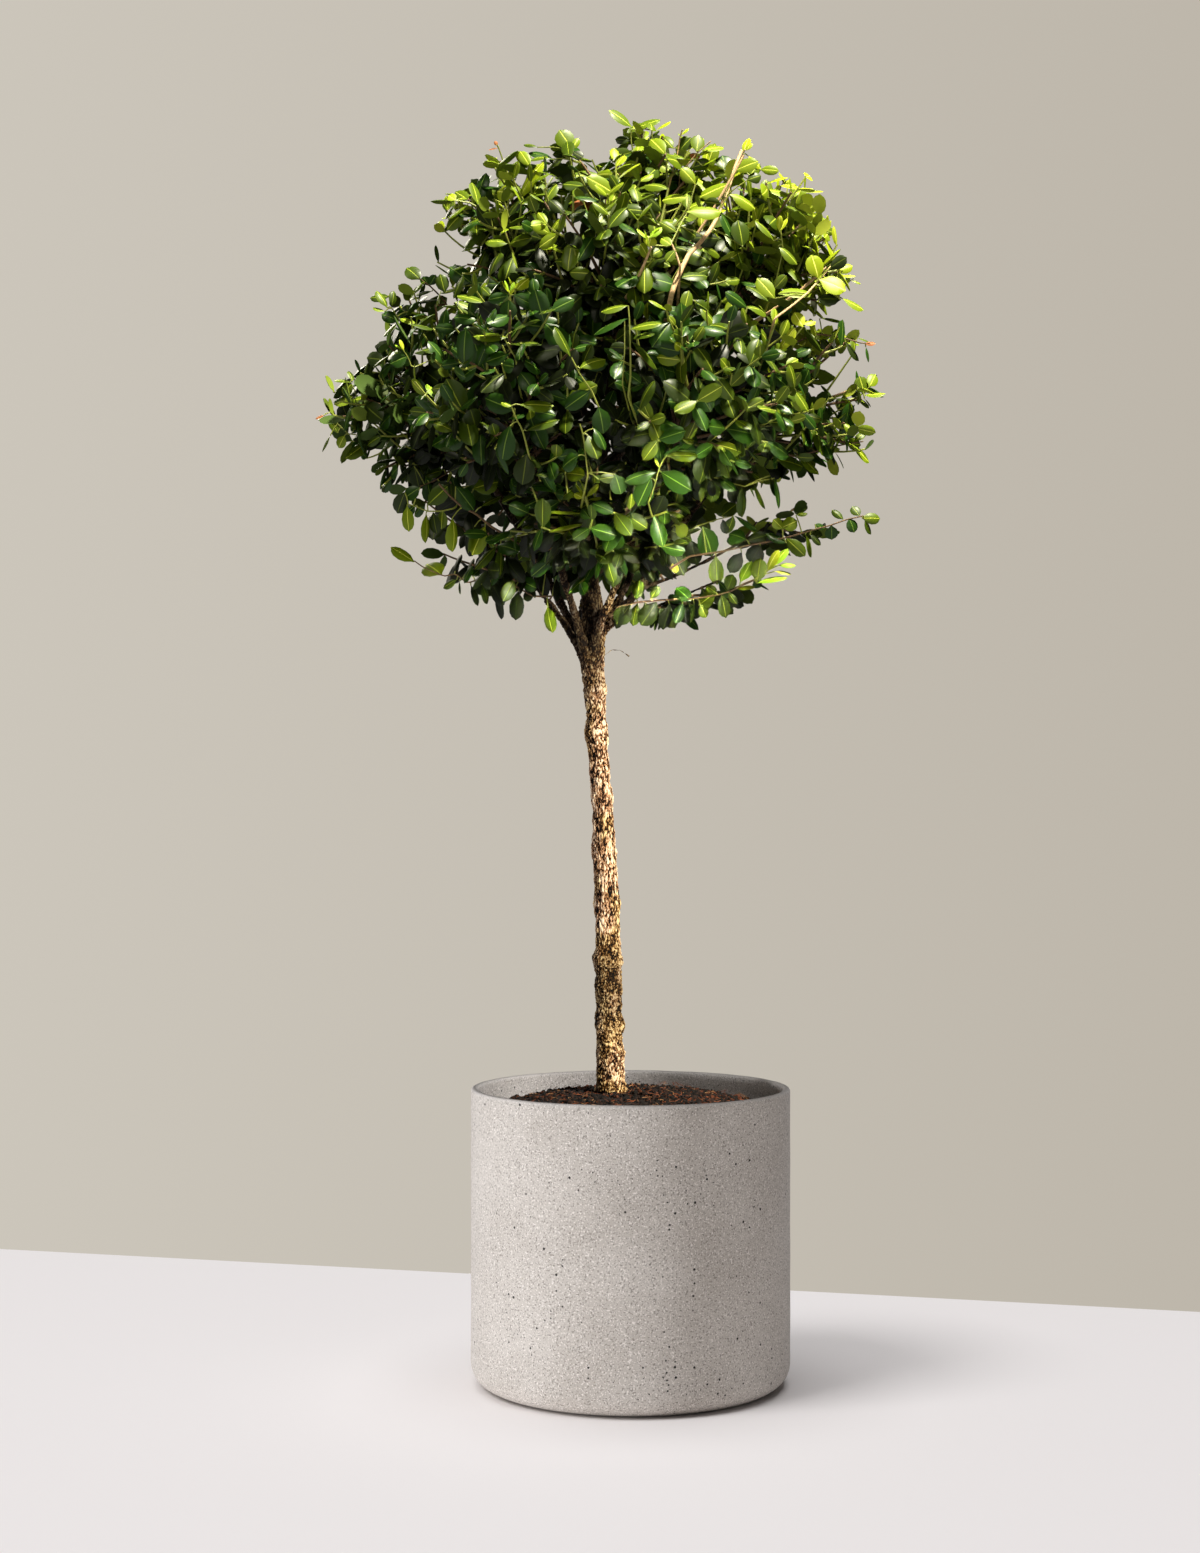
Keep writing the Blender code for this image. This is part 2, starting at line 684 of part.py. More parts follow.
    def grow(self):
        """All the twigs, then the leaves from the tips inward, so that the outside fills first."""
        path, radii = self.axis.stem_path()
        stem = add_object("mass_" + self.name, limb_shape(path, radii, STEM_SIDES), self.material)
        for twig, target in enumerate([*self.tip_targets(), *self.even_targets()]):
            self.add_twig(target, twig)
        for twig in self.named:
            if twig in self.twigs:
                self.add_tip_leaf(twig)
        for pair in range(MOST_PAIRS):
            for twig in self.twigs:
                if self.leaves < MOST_LEAVES:
                    self.add_pair(twig, pair)
        return join_mass(stem, self.collection, path[0])


def join_mass(stem, collection, origin):
    """One Boolean union of the stem with everything grown on it, then only the largest body kept."""
    bpy.context.view_layer.update()
    union = stem.modifiers.new("union", "BOOLEAN")
    union.operation = "UNION"
    union.operand_type = "COLLECTION"
    union.collection = collection
    union.solver = "MANIFOLD"
    graph = bpy.context.evaluated_depsgraph_get()
    joined = bmesh.new()
    joined.from_object(stem, graph)
    stem.modifiers.remove(union)
    for thing in list(collection.objects):
        bpy.data.objects.remove(thing, do_unlink=True)
    bpy.data.collections.remove(collection)
    keep_largest_body(joined)
    bmesh.ops.translate(joined, verts=joined.verts, vec=-origin)
    joined.to_mesh(stem.data)
    joined.free()
    stem.location = origin
    return stem


def keep_largest_body(shape):
    left = set(shape.faces)
    bodies = []
    while left:
        waiting = [left.pop()]
        body = list(waiting)
        while waiting:
            face = waiting.pop()
            for edge in face.edges:
                for other in edge.link_faces:
                    if other in left:
                        left.remove(other)
                        waiting.append(other)
                        body.append(other)
        bodies.append(body)
    bodies.sort(key=len, reverse=True)
    for body in bodies[1:]:
        bmesh.ops.delete(shape, geom=body, context="FACES")


def main():
    clear_scene()
    materials = make_materials()
    make_pot(materials["concrete"])
    make_soil(materials["compost"])
    add_object("trunk", trunk_shape(), materials["bark"], smooth_below=math.radians(50))
    axes = {}
    for name in MASSES:
        axes[name] = Axis(name, axes)
    for name, axis in axes.items():
        path, radii = axis.bough_path()
        shape = limb_shape(path, radii, BOUGH_SIDES, axis.root_plane)
        add_object("bough_" + name, shape, materials["bark"], smooth_below=math.radians(60))
    limbs = limb_tree(axes)
    for name, axis in axes.items():
        Grower(name, axis, limbs, materials["foliage"]).grow()


main()
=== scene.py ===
# %% [markdown]
# # Potted boxwood ball topiary
#
# A boxwood trained as a loose ball on one bare trunk, in a round pot of cast concrete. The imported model
# is loaded first and stays fixed: it says where every limb and every mass of foliage is and how far it
# reaches. The cells below then make what the eye sees in those places: the cast wall of the pot, the
# rough compost, the flaking bark, and several thousand small leathery leaves.

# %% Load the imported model
import functools
import math
import random

import bmesh
import bpy
import numpy as np
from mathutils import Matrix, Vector, noise
from mathutils.kdtree import KDTree


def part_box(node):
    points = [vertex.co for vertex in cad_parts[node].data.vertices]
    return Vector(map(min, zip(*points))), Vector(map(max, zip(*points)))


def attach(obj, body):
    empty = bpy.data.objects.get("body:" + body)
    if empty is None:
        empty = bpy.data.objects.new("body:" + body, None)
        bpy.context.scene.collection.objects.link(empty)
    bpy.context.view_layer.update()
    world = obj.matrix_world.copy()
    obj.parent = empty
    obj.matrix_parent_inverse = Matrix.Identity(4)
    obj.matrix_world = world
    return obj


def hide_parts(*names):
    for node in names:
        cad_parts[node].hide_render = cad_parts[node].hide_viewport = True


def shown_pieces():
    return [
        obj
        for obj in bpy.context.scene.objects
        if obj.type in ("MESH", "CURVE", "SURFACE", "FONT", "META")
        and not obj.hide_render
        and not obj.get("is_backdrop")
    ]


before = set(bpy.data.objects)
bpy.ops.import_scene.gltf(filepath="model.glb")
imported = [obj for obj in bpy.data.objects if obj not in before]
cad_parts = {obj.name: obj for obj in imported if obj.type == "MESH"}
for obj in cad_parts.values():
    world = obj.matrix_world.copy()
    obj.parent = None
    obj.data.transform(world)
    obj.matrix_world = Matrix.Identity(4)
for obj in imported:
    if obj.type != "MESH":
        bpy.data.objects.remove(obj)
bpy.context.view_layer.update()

# %% [markdown]

# %% [markdown]
# ## Camera
#
# The photo looks at the plant dead level, from a little over two metres, with the horizon just under half
# way up. A level camera with a small vertical shift keeps the pot's sides upright, as they are there.
# Tilting the camera instead would make them lean.

# %% Camera
PHOTO_WIDTH = 1200  # pixels
PHOTO_HEIGHT = 1553
HORIZON_ROW = 809  # the row of pixels that is level with the camera
FOCAL_PIXELS = 2458
SENSOR_SIDE = 36.0  # mm, along the picture's long side
CAMERA_PLACE = Vector((-0.0258, -2.08, 0.485))

lens = bpy.data.cameras.new("camera")
lens.sensor_fit = "VERTICAL"
lens.sensor_width = SENSOR_SIDE
lens.sensor_height = SENSOR_SIDE
lens.lens = SENSOR_SIDE * FOCAL_PIXELS / PHOTO_HEIGHT
lens.shift_y = (HORIZON_ROW - PHOTO_HEIGHT / 2) / PHOTO_HEIGHT
camera = bpy.data.objects.new("camera", lens)
camera.location = CAMERA_PLACE
camera.rotation_euler = (math.radians(90), 0, 0)
bpy.context.scene.collection.objects.link(camera)
bpy.context.scene.camera = camera
bpy.context.scene.view_settings.view_transform = "Standard"
print("lens, mm:", round(lens.lens, 1))

# %% [markdown]
# ## Colours and materials
#
# Colours are written as a screen shows them, from 0 to 255, because that is how they are judged beside
# a photo. A shader wants linear light, so one short function turns the first into the second. The other
# helpers start a material and add nodes to it, so that each finish below stays short.

# %% Colour and material helpers
BLACK = (0.0, 0.0, 0.0, 1.0)
WHITE = (1.0, 1.0, 1.0, 1.0)


def screen(red, green, blue):
    """A screen colour as the linear values that a shader takes."""
    shares = [value / 255 for value in (red, green, blue)]
    return tuple(((s + 0.055) / 1.055) ** 2.4 if s > 0.04 else s / 12.92 for s in shares) + (1.0,)


def new_material(name, colour, roughness):
    """A material with its own tree and shader, in one plain colour to begin with."""
    material = bpy.data.materials.new(name)
    material.use_nodes = True
    tree = material.node_tree
    shader = tree.nodes["Principled BSDF"]
    shader.inputs["Base Color"].default_value = colour
    shader.inputs["Roughness"].default_value = roughness
    return material, tree, shader


def add_node(tree, kind, values=None, **settings):
    """A new node with its settings. Each input takes a plain value, or a link from an output."""
    node = tree.nodes.new(kind)
    for setting, value in settings.items():
        setattr(node, setting, value)
    for name, value in (values or {}).items():
        if isinstance(value, bpy.types.NodeSocket):
            tree.links.new(value, node.inputs[name])
        else:
            node.inputs[name].default_value = value
    return node


def ramp(tree, source, *stops):
    """A colour ramp that reads source, with stops of (place, colour)."""
    node = add_node(tree, "ShaderNodeValToRGB", {"Fac": source})
    points = node.color_ramp.elements
    while len(points) < len(stops):
        points.new(0.5)
    for point, (place, colour) in zip(points, stops):
        point.position = place
        point.color = colour
    return node.outputs["Color"]


def mix(tree, share, first, second):
    """A colour between two, each of them a colour or an output, by a share that is also either."""
    return add_node(tree, "ShaderNodeMix", {0: share, 6: first, 7: second}, data_type="RGBA").outputs[2]


def worked_out(tree, operation, first, second):
    return add_node(tree, "ShaderNodeMath", {0: first, 1: second}, operation=operation).outputs[0]


def times(tree, first, second):
    return worked_out(tree, "MULTIPLY", first, second)


def plus(tree, first, second):
    return worked_out(tree, "ADD", first, second)


def minus(tree, first, second):
    return worked_out(tree, "SUBTRACT", first, second)


def rising(tree, value, low, high):
    """A share that rises from 0 where value is low to 1 where it is high."""
    values = {"Value": value, "From Min": low, "From Max": high}
    return add_node(tree, "ShaderNodeMapRange", values).outputs["Result"]


def place_in(tree, kind="Object"):
    """Where a point of the piece is: the whole place, and its x, y and z."""
    place = add_node(tree, "ShaderNodeTexCoord").outputs[kind]
    return place, add_node(tree, "ShaderNodeSeparateXYZ", {0: place}).outputs


def bump(tree, shader, height, strength, distance):
    """Makes the shader's surface rise and fall with height."""
    values = {"Height": height, "Strength": strength, "Distance": distance}
    tree.links.new(add_node(tree, "ShaderNodeBump", values).outputs["Normal"], shader.inputs["Normal"])

# %% [markdown]
# Concrete, compost, bark and twigs all break up into fine grain when they are seen close. The grain is the
# same effect each time at another size, so it is made once as a node group: a noise with its contrast
# raised, read from the object's own coordinates, with a stretch along Z for bark that runs upward.

# %% Grain group
GRAIN_INPUTS = ("Scale", "Detail", "Contrast", "Upright")


def make_grain_group():
    group = bpy.data.node_groups.new("grain", "ShaderNodeTree")
    for name in GRAIN_INPUTS:
        group.interface.new_socket(name, in_out="INPUT", socket_type="NodeSocketFloat")
    group.interface.new_socket("Grain", in_out="OUTPUT", socket_type="NodeSocketFloat")
    entry = group.nodes.new("NodeGroupInput").outputs
    x, y, z = place_in(group)[1]
    whole = add_node(group, "ShaderNodeCombineXYZ", {"X": x, "Y": y, "Z": times(group, z, entry["Upright"])})
    cloud = add_node(group, "ShaderNodeTexNoise", {
        "Vector": whole.outputs[0], "Scale": entry["Scale"], "Detail": entry["Detail"],
    })
    raised = times(group, minus(group, cloud.outputs["Fac"], 0.5), entry["Contrast"])
    result = group.nodes.new("NodeGroupOutput")
    group.links.new(plus(group, raised, 0.5), result.inputs["Grain"])
    return group


grain_group = make_grain_group()


def grain(tree, scale, detail=3.0, contrast=1.0, upright=1.0):
    """The grain group in this material: about scale grains to a metre, and how fine and strong they are."""
    values = dict(zip(GRAIN_INPUTS, (scale, detail, contrast, upright)))
    return add_node(tree, "ShaderNodeGroup", values, node_tree=grain_group).outputs["Grain"]


print("grain group inputs:", [item.name for item in grain_group.interface.items_tree])

# %% [markdown]
# ## Modelling helpers
#
# The big pieces are modelled as by hand: a primitive is added, then faces are picked and worked in edit
# mode. An operator acts on whatever is selected, so the picking helpers first deselect everything and
# then select by place. The small things, leaves and twigs and crumbs, come in their thousands, so their
# points and faces are gathered in a heap of arrays and made into one joined mesh at the end.

# %% Modelling helpers
def select_only(*pieces):
    """Selects these pieces and nothing else, and works on the last of them."""
    bpy.ops.object.select_all(action="DESELECT")
    for piece in pieces:
        piece.select_set(True)
        bpy.context.view_layer.objects.active = piece


def start_editing(piece):
    select_only(piece)
    bpy.ops.object.mode_set(mode="EDIT")


def pick(piece, kind, wanted):
    """Selects the faces or edges, of the piece that is being edited, for which wanted is true."""
    bpy.ops.mesh.select_mode(type=kind)
    bpy.ops.mesh.select_all(action="DESELECT")
    shape = bmesh.from_edit_mesh(piece.data)
    for item in shape.faces if kind == "FACE" else shape.edges:
        if wanted(item):
            item.select_set(True)
    bmesh.update_edit_mesh(piece.data)


def faces_up(face):
    return face.normal.z > 0.9


def round_edge(piece, height, radius, offset, segments):
    """Bevels the edge that lies level at a height and runs round at a radius."""
    def wanted(edge):
        return all(
            abs(point.co.z - height) < 0.0002 and abs(point.co.to_2d().length - radius) < 0.0004
            for point in edge.verts
        )
    pick(piece, "EDGE", wanted)
    bpy.ops.mesh.bevel(offset=offset, segments=segments, affect="EDGES")


def add_cylinder(name, sides, radius, low, high):
    """A cylinder round the Z axis, from one height to another."""
    select_only()
    bpy.ops.mesh.primitive_cylinder_add(
        vertices=sides, radius=radius, depth=high - low, location=(0, 0, (low + high) / 2)
    )
    bpy.ops.object.transform_apply(location=True, rotation=True, scale=True)
    bpy.context.object.name = name
    return bpy.context.object


def cut_bands(low, high, bands):
    """Cuts the piece that is being edited into level bands between two heights."""
    for band in range(1, bands):
        bpy.ops.mesh.select_all(action="SELECT")
        bpy.ops.mesh.bisect(plane_co=(0, 0, low + (high - low) * band / bands), plane_no=(0, 0, 1))


def bake_in(piece, name, kind, **settings):
    """Adds a modifier and applies it at once."""
    select_only(piece)
    modifier = piece.modifiers.new(name, kind)
    for setting, value in settings.items():
        setattr(modifier, setting, value)
    bpy.ops.object.modifier_apply(modifier=name)


def hand_over(piece, nodes=(), material=None):
    """The finished piece rides with the plant, takes its finish if one is given, and hides the solids it
    stands for.
    """
    if material:
        piece.data.materials.clear()
        piece.data.materials.append(material)
    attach(piece, "root")
    if nodes:
        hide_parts(*nodes)
    print(f"{piece.name}: {sum(len(face.vertices) - 2 for face in piece.data.polygons)} triangles")


class Heap:
    """Many small shapes, kept as arrays until they become one joined mesh."""

    def __init__(self):
        self.shapes = []
        self.count = 0

    def add(self, points, corners, sizes, slots):
        self.shapes.append((points, corners + self.count, sizes, slots))
        self.count += len(points)

    def make(self, name, materials, sharp_above=70):
        points, corners, sizes, slots = (np.concatenate(arrays) for arrays in zip(*self.shapes))
        starts = np.concatenate(([0], np.cumsum(sizes)[:-1]))
        mesh = bpy.data.meshes.new(name)
        mesh.vertices.add(len(points))
        mesh.vertices.foreach_set("co", points.astype(np.float32).ravel())
        mesh.loops.add(len(corners))
        mesh.loops.foreach_set("vertex_index", corners.astype(np.int32))
        mesh.polygons.add(len(sizes))
        mesh.polygons.foreach_set("loop_start", starts.astype(np.int32))
        for material in materials:
            mesh.materials.append(material)
        mesh.polygons.foreach_set("material_index", slots.astype(np.int32))
        mesh.polygons.foreach_set("use_smooth", np.ones(len(sizes), bool))
        mesh.update(calc_edges=True)
        mesh.set_sharp_from_angle(angle=math.radians(sharp_above))
        piece = bpy.data.objects.new(name, mesh)
        bpy.context.scene.collection.objects.link(piece)
        return piece


@functools.lru_cache(maxsize=None)
def tube_faces(rings, sides):
    """The corners and the sizes of the faces of a closed tube."""
    corners = []
    for ring in range(rings - 1):
        for side in range(sides):
            after = (side + 1) % sides
            low = ring * sides
            corners += [low + side, low + after, low + sides + after, low + sides + side]
    corners += list(range(sides - 1, -1, -1))
    corners += [(rings - 1) * sides + side for side in range(sides)]
    sizes = [4] * ((rings - 1) * sides) + [sides, sides]
    return np.array(corners), np.array(sizes)


def tube_points(path, radii, sides):
    """Rings of points round a line, carried along it without twisting."""
    path = np.asarray(path, float)
    lines = np.gradient(path, axis=0)
    lines /= np.linalg.norm(lines, axis=1, keepdims=True)
    across = np.cross(lines[0], (0.31, 0.87, 0.38))
    angles = np.arange(sides) * (math.tau / sides)
    rings = []
    for centre, line, radius in zip(path, lines, radii):
        across = across - line * across.dot(line)
        across /= np.linalg.norm(across)
        along = np.cross(line, across)
        ring = np.cos(angles)[:, None] * across + np.sin(angles)[:, None] * along
        rings.append(centre + ring * radius)
    return np.concatenate(rings)


def add_tube(heap, path, radii, sides, slot=0):
    corners, sizes = tube_faces(len(path), sides)
    heap.add(tube_points(path, radii, sides), corners, sizes, np.full(len(sizes), slot))

# %% [markdown]
# ## Pot
#
# The pot is a plain cast cylinder with a soft lower edge, a wall of about six millimetres and a thin
# rounded lip. By hand it starts as a cylinder. Its top is inset by the wall and pushed down to the
# floor, then the foot, the lip and the inner corner are bevelled. Cast concrete is never quite true, so
# the wall is cut into bands and its points are moved in and out by a fraction of a millimetre.

# %% Pot
POT_RADIUS = (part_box("pot")[1].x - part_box("pot")[0].x) / 2
POT_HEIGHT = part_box("pot")[1].z
POT_WALL = 0.0065
POT_FLOOR = 0.010
POT_SIDES = 192
FOOT_ROUND = 0.020
LIP_ROUND = 0.0028
INNER_ROUND = 0.014
WALL_BANDS = 30
# How far the wall and the lip are uneven, and how many waves of that go to a metre
WALL_UNEVEN = 0.00035
WALL_WAVES = 28
LIP_UNEVEN = 0.0004
LIP_WAVES = 60

pot = add_cylinder("pot_concrete", POT_SIDES, POT_RADIUS, 0.0, POT_HEIGHT)
start_editing(pot)
pick(pot, "FACE", faces_up)
bpy.ops.mesh.inset(thickness=POT_WALL)
bpy.ops.mesh.extrude_region_move(TRANSFORM_OT_translate={"value": (0, 0, POT_FLOOR - POT_HEIGHT)})
round_edge(pot, 0, POT_RADIUS, FOOT_ROUND, 12)
round_edge(pot, POT_FLOOR, POT_RADIUS - POT_WALL, INNER_ROUND, 4)
for lip_radius in (POT_RADIUS, POT_RADIUS - POT_WALL):
    round_edge(pot, POT_HEIGHT, lip_radius, LIP_ROUND, 4)
cut_bands(FOOT_ROUND, POT_HEIGHT - LIP_ROUND, WALL_BANDS)
bpy.ops.object.mode_set(mode="OBJECT")
for point in pot.data.vertices:
    if point.co.to_2d().length > POT_RADIUS / 2 and point.co.z > POT_FLOOR:
        way = point.co.to_2d().normalized()
        swell = WALL_UNEVEN * noise.noise(point.co * WALL_WAVES) - WALL_UNEVEN * 0.5
        point.co.x += way.x * swell
        point.co.y += way.y * swell
    if point.co.z > POT_HEIGHT - LIP_ROUND:
        point.co.z -= LIP_UNEVEN * abs(noise.noise(point.co * LIP_WAVES))
pot.data.shade_smooth()
pot.data.set_sharp_from_angle(angle=math.radians(40))
print("pot, mm:", [round(1000 * side, 1) for side in pot.dimensions])

# %% [markdown]
# The pot's face is fine salt and pepper: pale sand and dark sand in a warm grey, hardly a millimetre
# across. Over it lie a faint cloudiness and pinholes where air was caught against the mould. Each cell
# of a Voronoi pattern may hold one pinhole. Its random number and a slow noise decide together whether
# it does, so that there are a few single holes and some clusters. They are sunk, and painted shade
# darkens them.

# %% Concrete
CONCRETE_PALE = screen(240, 233, 228)
CONCRETE_DARK = screen(112, 105, 98)
# The painted shade inside a pinhole
PINHOLE_SHADE = screen(44, 41, 39)
PINHOLE_CELLS = 200.0  # how many cells of the pattern go to a metre
PINHOLE_LUCK = 1.36  # a cell holds a pinhole where its own number and the slow noise come to more
# Painted highlight: the top of the lip is painted paler, where light catches the rim
LIP_HIGHLIGHT_FROM, LIP_HIGHLIGHT_TO = 0.0026, 0.0008  # below the lip, where its paler edge starts and is full

concrete, tree, shader = new_material("concrete", screen(188, 178, 171), 0.86)
cloudy = mix(tree, grain(tree, 14, 4, 1.9), screen(179, 171, 163), screen(199, 192, 185))
salt = ramp(tree, grain(tree, 820, 1.5), (0.57, BLACK), (0.64, WHITE))
pepper = ramp(tree, grain(tree, 700, 1.5), (0.36, WHITE), (0.43, BLACK))
salted = mix(tree, times(tree, salt, 0.70), cloudy, CONCRETE_PALE)
peppered = mix(tree, times(tree, pepper, 0.66), salted, CONCRETE_DARK)
place, along_axes = place_in(tree)
cells = add_node(tree, "ShaderNodeTexVoronoi", {
    "Vector": place, "Scale": PINHOLE_CELLS, "Randomness": 1.0,
}).outputs
cell_numbers = add_node(tree, "ShaderNodeSeparateColor", {0: cells["Color"]}).outputs
hole_size = plus(tree, times(tree, cell_numbers[1], 0.13), 0.09)
inside = worked_out(tree, "LESS_THAN", cells["Distance"], hole_size)
luck = plus(tree, cell_numbers[0], grain(tree, 21, 2, 2.6))
pits = times(tree, inside, worked_out(tree, "GREATER_THAN", luck, PINHOLE_LUCK))
# Painted shade: each pinhole is painted dark, as the shade inside it
shaded_pinholes = mix(tree, pits, peppered, PINHOLE_SHADE)
# Painted highlight along the top of the lip
lip_highlight = rising(tree, along_axes["Z"], POT_HEIGHT - LIP_HIGHLIGHT_FROM, POT_HEIGHT - LIP_HIGHLIGHT_TO)
tree.links.new(mix(tree, times(tree, lip_highlight, 0.45), shaded_pinholes, CONCRETE_PALE), shader.inputs["Base Color"])
bump(tree, shader, minus(tree, times(tree, grain(tree, 700), 0.35), pits), 0.6, 0.0010)
hand_over(pot, ["pot"], concrete)

# %% [markdown]
# ## Compost
#
# The pot is filled with dark peat and coir to about a finger's width below the lip, heaped a little
# round the trunk. By hand the fill is a cylinder whose top is inset again and again, which gives rings
# of points to raise into the heap and roughen. The crumbs and the orange coir fibres that catch the
# light on top are small separate things, so they are made as joined meshes.

# %% Body of the compost
SOIL_RADIUS = (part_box("soil")[1].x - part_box("soil")[0].x) / 2
SOIL_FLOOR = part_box("soil")[0].z
SOIL_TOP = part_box("soil")[1].z
SOIL_EDGE = 0.229
SOIL_LEVEL_RADIUS = 0.036
SOIL_SIDES = 160
SOIL_RING = 0.0021
SOIL_ROUGH = 0.0030
SOIL_SPARE = 0.0008  # how far below the solid's top the heap stays


def soil_height(x, y):
    """The top of the compost at a place, rough and heaped towards the middle."""
    out = min(math.hypot(x, y), SOIL_RADIUS)
    share = min(1.0, (SOIL_RADIUS - out) / (SOIL_RADIUS - SOIL_LEVEL_RADIUS))
    height = SOIL_EDGE + (SOIL_TOP - SOIL_SPARE - SOIL_EDGE) * math.sin(share * math.pi / 2)
    place = Vector((x, y, 0))
    lumps = noise.noise(place * 95) * 0.5 + noise.noise(place * 260) * 0.45
    return height + SOIL_ROUGH * (lumps - 0.12)


soil = add_cylinder("soil_body", SOIL_SIDES, SOIL_RADIUS, SOIL_FLOOR, SOIL_EDGE)
start_editing(soil)
round_edge(soil, SOIL_FLOOR, SOIL_RADIUS, INNER_ROUND, 3)
pick(soil, "FACE", faces_up)
for ring in range(round(SOIL_RADIUS / SOIL_RING) - 2):
    bpy.ops.mesh.inset(thickness=SOIL_RING)
bpy.ops.object.mode_set(mode="OBJECT")
for point in soil.data.vertices:
    if point.co.z > SOIL_EDGE - 0.0001:
        point.co.z = soil_height(point.co.x, point.co.y)
soil.data.shade_smooth()

compost, tree, shader = new_material("compost", screen(32, 21, 16), 0.95)
damp = mix(tree, grain(tree, 150, 4, 2.2), screen(10, 6, 5), screen(38, 22, 16))
flecks = ramp(tree, grain(tree, 620, 2, 1.2), (0.60, BLACK), (0.70, WHITE))
tree.links.new(mix(tree, flecks, damp, screen(80, 44, 29)), shader.inputs["Base Color"])
bump(tree, shader, grain(tree, 420, 4, 1.6), 0.8, 0.0016)
hand_over(soil, ["soil"], compost)

# %% [markdown]
# A crumb is a lump of a few faces, squashed and turned at random. Three tones of brown are dealt out
# among them. A fibre is a thin bent strand, lying on the surface with one end a little raised.

# %% Crumbs and fibres
CRUMBS = 3400
CRUMB_TONES = {"black": screen(18, 11, 9), "brown": screen(48, 27, 19), "rust": screen(98, 52, 32)}
CRUMB_SHARES = (0.56, 0.34, 0.10)
CRUMB_SMALLEST = 0.0007
CRUMB_RANGE = 0.0019  # how much larger than that the largest are
CRUMB_MARGIN = 0.003
FIBRES = 620
FIBRE_POINTS = 5
FIBRE_TONES = {"orange": screen(150, 80, 46), "tan": screen(196, 142, 98)}
FIBRE_SHARES = (0.68, 0.32)
FIBRE_SHORTEST = 0.004
FIBRE_RANGE = 0.010
FIBRE_MARGIN = 0.009
FIBRE_LIFT = 0.0006


def grained(name, colour, roughness, scale, depth=0.35):
    """A material of one colour that darkens in its grain, for small things."""
    material, tree, shader = new_material(name, colour, roughness)
    darker = tuple(value * (1 - depth) for value in colour[:3]) + (1.0,)
    tree.links.new(mix(tree, grain(tree, scale, 3, 2.0), darker, colour), shader.inputs["Base Color"])
    bump(tree, shader, grain(tree, scale * 2, 2, 1.2), 0.5, 0.0004)
    return material


def lump_template():
    """The points and faces of a rounded lump with twenty faces."""
    shape = bmesh.new()
    bmesh.ops.create_icosphere(shape, subdivisions=1, radius=1.0)
    points = np.array([point.co for point in shape.verts])
    corners = np.array([corner.index for face in shape.faces for corner in face.verts])
    shape.free()
    return points, corners, np.full(len(corners) // 3, 3)


def random_turn(chance):
    """A turn by any angle about any line, as three rows."""
    rows = np.linalg.qr(chance.normal(size=(3, 3)))[0]
    return rows * np.sign(np.linalg.det(rows))


def place_on_soil(chance, margin):
    """Any x and y on the compost that keep that far from its edge."""
    out = (SOIL_RADIUS - margin) * math.sqrt(chance.random())
    angle = math.tau * chance.random()
    return out * math.cos(angle), out * math.sin(angle)


chance = np.random.default_rng(4)
lump_points, lump_corners, lump_sizes = lump_template()
crumbs = Heap()
for number in range(CRUMBS):
    x, y = place_on_soil(chance, CRUMB_MARGIN)
    size = CRUMB_SMALLEST + CRUMB_RANGE * chance.random() ** 2.2
    jitter = 1 + chance.uniform(-0.3, 0.3, size=(len(lump_points), 1))
    shape = lump_points * jitter * size * chance.uniform(0.6, 1.2, size=3)
    shape = shape @ random_turn(chance) + (x, y, soil_height(x, y) + size * 0.25)
    tone = chance.choice(3, p=CRUMB_SHARES)
    crumbs.add(shape, lump_corners, lump_sizes, np.full(len(lump_sizes), tone))
fibres = Heap()
for number in range(FIBRES):
    x, y = place_on_soil(chance, FIBRE_MARGIN)
    length = FIBRE_SHORTEST + FIBRE_RANGE * chance.random() ** 1.6
    way = math.tau * chance.random()
    bend = chance.uniform(-1.4, 1.4)
    rise = chance.random() ** 3 * 0.45
    path = []
    for step in range(FIBRE_POINTS):
        share = step / (FIBRE_POINTS - 1) - 0.5
        turn = way + bend * share
        px = x + math.cos(turn) * length * share
        py = y + math.sin(turn) * length * share
        lift = FIBRE_LIFT + (share + 0.5) * rise * length
        path.append((px, py, soil_height(px, py) + lift))
    thick = chance.uniform(0.00014, 0.00030)
    add_tube(fibres, path, [thick] * FIBRE_POINTS, 3, chance.choice(2, p=FIBRE_SHARES))
crumb_materials = [grained("crumb_" + name, tone, 0.95, 900) for name, tone in CRUMB_TONES.items()]
hand_over(crumbs.make("soil_crumbs", crumb_materials, 20))
fibre_materials = [grained("fibre_" + name, tone, 0.7, 700) for name, tone in FIBRE_TONES.items()]
hand_over(fibres.make("soil_fibres", fibre_materials))

# %% [markdown]
# ## The lines of the limbs
#
# The trunk leans to the left as it rises, with one slow bend, and forks into boughs under the crown.
# Every bough is the first part of an axis that ends in the heart of its own mass of foliage. Most axes
# set off from a ring round the trunk's head, and some from the side of another axis. The same rule drew
# the solids, so limbs drawn by it again lie where the solids are.

# %% Trunk and axes
TRUNK_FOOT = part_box("trunk")[0].z
TRUNK_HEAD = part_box("trunk")[1].z
FOOT_X = -0.0165
HEAD_X = -0.0330
TRUNK_BEND = 0.0036
TRUNK_SWAY = 0.0025
FOOT_RADIUS = 0.0110
NECK_RADIUS = 0.0091
HEAD_RADIUS = 0.0128
FLARE_RADIUS = 0.0028
FLARE_HEIGHT = 0.014
HEAD_SPREAD = 0.020
FORK_RING = 0.0110
GAP = 0.0003
AXIS_STEPS = 60
LAUNCH_LEAN = math.radians(30)
SIDE_LAUNCH_LEAN = math.radians(38)
LAUNCH_SHARE = 0.42
ENTRY_SHARE = 0.80
CROWN_CENTRE = Vector((-0.026, 0.0, 0.845))


